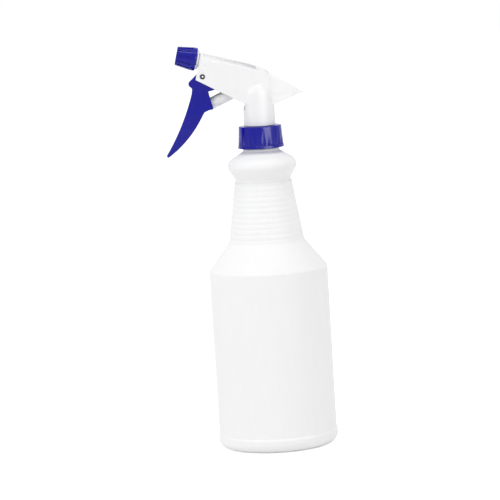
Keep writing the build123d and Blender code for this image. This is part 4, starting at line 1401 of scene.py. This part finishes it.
@dataclass
class Studio:
    """The pale room that the bottle stands in, with its lamps and camera."""

    distance: float = 2100 * MM
    elevation: float = radians(7.0)
    roll: float = radians(3.5)
    focal_length: float = 202.9104
    sensor_width: float = 36.0
    clip: Point = (0.05, 50.0)
    aim: Vector = field(default_factory=lambda: Vector((-12.9, 0.0, 147.0)) * MM)
    floor_size: float = 12.0
    floor_height: float = -0.1 * MM
    floor_grey: Colour = (0.86, 0.86, 0.86)
    floor_glow: float = 0.56  # as seen by the camera, so that the floor reads as white paper
    room_light: float = 0.70
    lamps: tuple[Lamp, ...] = (
        Lamp("key", (-1.8, -1.1, 1.3), (1.2, 1.2), 13.2),
        Lamp("top", (0.0, -0.6, 2.3), (0.9, 0.9), 9.2),
        Lamp("fill", (1.6, -1.1, 0.8), (1.4, 1.4), 5.5),
        Lamp("panel", (1.17, -1.62, 0.4), (1.5, 1.6), 58.0, gloss_only=True),
    )

    def camera(self) -> None:
        """Places the camera at the side of the bottle, a little above it and slightly rolled."""
        lens = bpy.data.cameras.new("camera")
        lens.sensor_width = self.sensor_width
        lens.lens = self.focal_length
        lens.clip_start, lens.clip_end = self.clip
        camera = bpy.data.objects.new("camera", lens)
        forward = Vector((0.0, cos(self.elevation), -sin(self.elevation)))
        upright = Vector((0.0, sin(self.elevation), cos(self.elevation)))
        side = Vector((1.0, 0.0, 0.0))
        up = cos(self.roll) * upright + sin(self.roll) * side
        right = cos(self.roll) * side - sin(self.roll) * upright
        place = Matrix((right, up, -forward)).transposed().to_4x4()
        place.translation = self.aim - forward * self.distance
        camera.matrix_world = place
        bpy.context.scene.collection.objects.link(camera)
        bpy.context.scene.camera = camera

    def seen_directly(self, graph: Graph) -> Socket:
        """A mask that is 1 for what the camera sees, also in gloss and through glass.

        Args:
            graph: the graph to add the nodes to.

        Returns:
            The mask.
        """
        path = graph.add("ShaderNodeLightPath").outputs
        first = graph.math("MAXIMUM", path["Is Camera Ray"], path["Is Glossy Ray"])
        return graph.math("MAXIMUM", first, path["Is Transmission Ray"])

    def floor(self) -> None:
        """Makes the plain pale floor, which can be seen through from below."""
        height = (0.0, 0.0, self.floor_height)
        bpy.ops.mesh.primitive_plane_add(size=self.floor_size, location=height)
        floor = bpy.context.object
        floor.name = "floor"
        material, graph = new_material("pale_floor")
        glow = graph.math("MULTIPLY", self.seen_directly(graph), self.floor_glow)
        paper = graph.add("ShaderNodeBsdfDiffuse", {"Color": (*self.floor_grey, 1.0)})
        light = graph.add("ShaderNodeEmission", {"Color": WHITE_LIGHT, "Strength": glow})
        both = graph.add("ShaderNodeAddShader", {0: paper.outputs[0], 1: light.outputs[0]})
        clear = graph.add("ShaderNodeBsdfTransparent", {"Color": WHITE_LIGHT})
        underneath = graph.add("ShaderNodeNewGeometry").outputs["Backfacing"]
        sides = {0: underneath, 1: both.outputs[0], 2: clear.outputs[0]}
        sheet = graph.add("ShaderNodeMixShader", sides).outputs[0]
        graph.add("ShaderNodeOutputMaterial", {"Surface": sheet})
        floor.data.materials.append(material)

    def world(self) -> None:
        """Fills the room with even white light, and shows pure white past the floor's edge."""
        world = bpy.data.worlds.new("room")
        bpy.context.scene.world = world
        world.use_nodes = True
        world.node_tree.nodes.clear()
        graph = Graph(world.node_tree)
        room, seen = (
            graph.add("ShaderNodeBackground", {"Color": WHITE_LIGHT, "Strength": strength})
            for strength in (self.room_light, 1.0)
        )
        sides = {0: self.seen_directly(graph), 1: room.outputs[0], 2: seen.outputs[0]}
        both = graph.add("ShaderNodeMixShader", sides).outputs[0]
        graph.add("ShaderNodeOutputWorld", {"Surface": both})

    def build(self) -> None:
        """Makes the camera, floor, world and lamps."""
        self.camera()
        self.floor()
        self.world()
        for lamp in self.lamps:
            lamp.build(self.aim)
        bpy.context.scene.view_settings.view_transform = "Standard"


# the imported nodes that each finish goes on
FINISHED_IN = {
    BOTTLE_WHITE: ("bottle",),
    BLUE: ("closure", "nozzle", "trigger"),
    SEAL: ("gasket", "piston_seal", "nozzle_seal"),
    HEAD_WHITE: ("housing", "barrel_plug", "shroud"),
    NATURAL: (
        "tube_retainer", "dip_tube", "tube_filter", "discharge_valve", "spinner", "piston",
    ),
    STEEL: ("inlet_ball", "valve_spring", "piston_spring", "pivot_pin"),
}


def dress(node: str, material: Material) -> None:
    """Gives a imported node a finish.

    Args:
        node: the node's name.
        material: its finish.
    """
    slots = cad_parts[node].data.materials
    slots.clear()
    slots.append(material)
    log.info("dressed %s in %s", node, material.name)


def main() -> None:
    """Builds the room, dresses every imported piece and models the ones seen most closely."""
    Studio().build()
    effects = Effects()
    made: dict[PlasticFinish | SteelFinish, Material] = {}
    for finish, nodes in FINISHED_IN.items():
        made[finish] = finish.build(effects)
        for node in nodes:
            dress(node, made[finish])
    Bottle().build(made[BOTTLE_WHITE])
    Closure().build(made[BLUE])
    Nozzle().build(made[BLUE])
    Trigger().build(made[BLUE])
    CollarFlange().build(made[HEAD_WHITE])
    Shroud().build(made[HEAD_WHITE])
    # the pin's ends are painted: near-black steel for their dark reflection, bright steel at the
    # centres for their highlight
    PivotPin().build(DARK_REFLECTION_STEEL.build(effects), made[STEEL])
    for spring in SPRINGS:
        spring.build(made[STEEL])


if __name__ == "__main__":
    main()
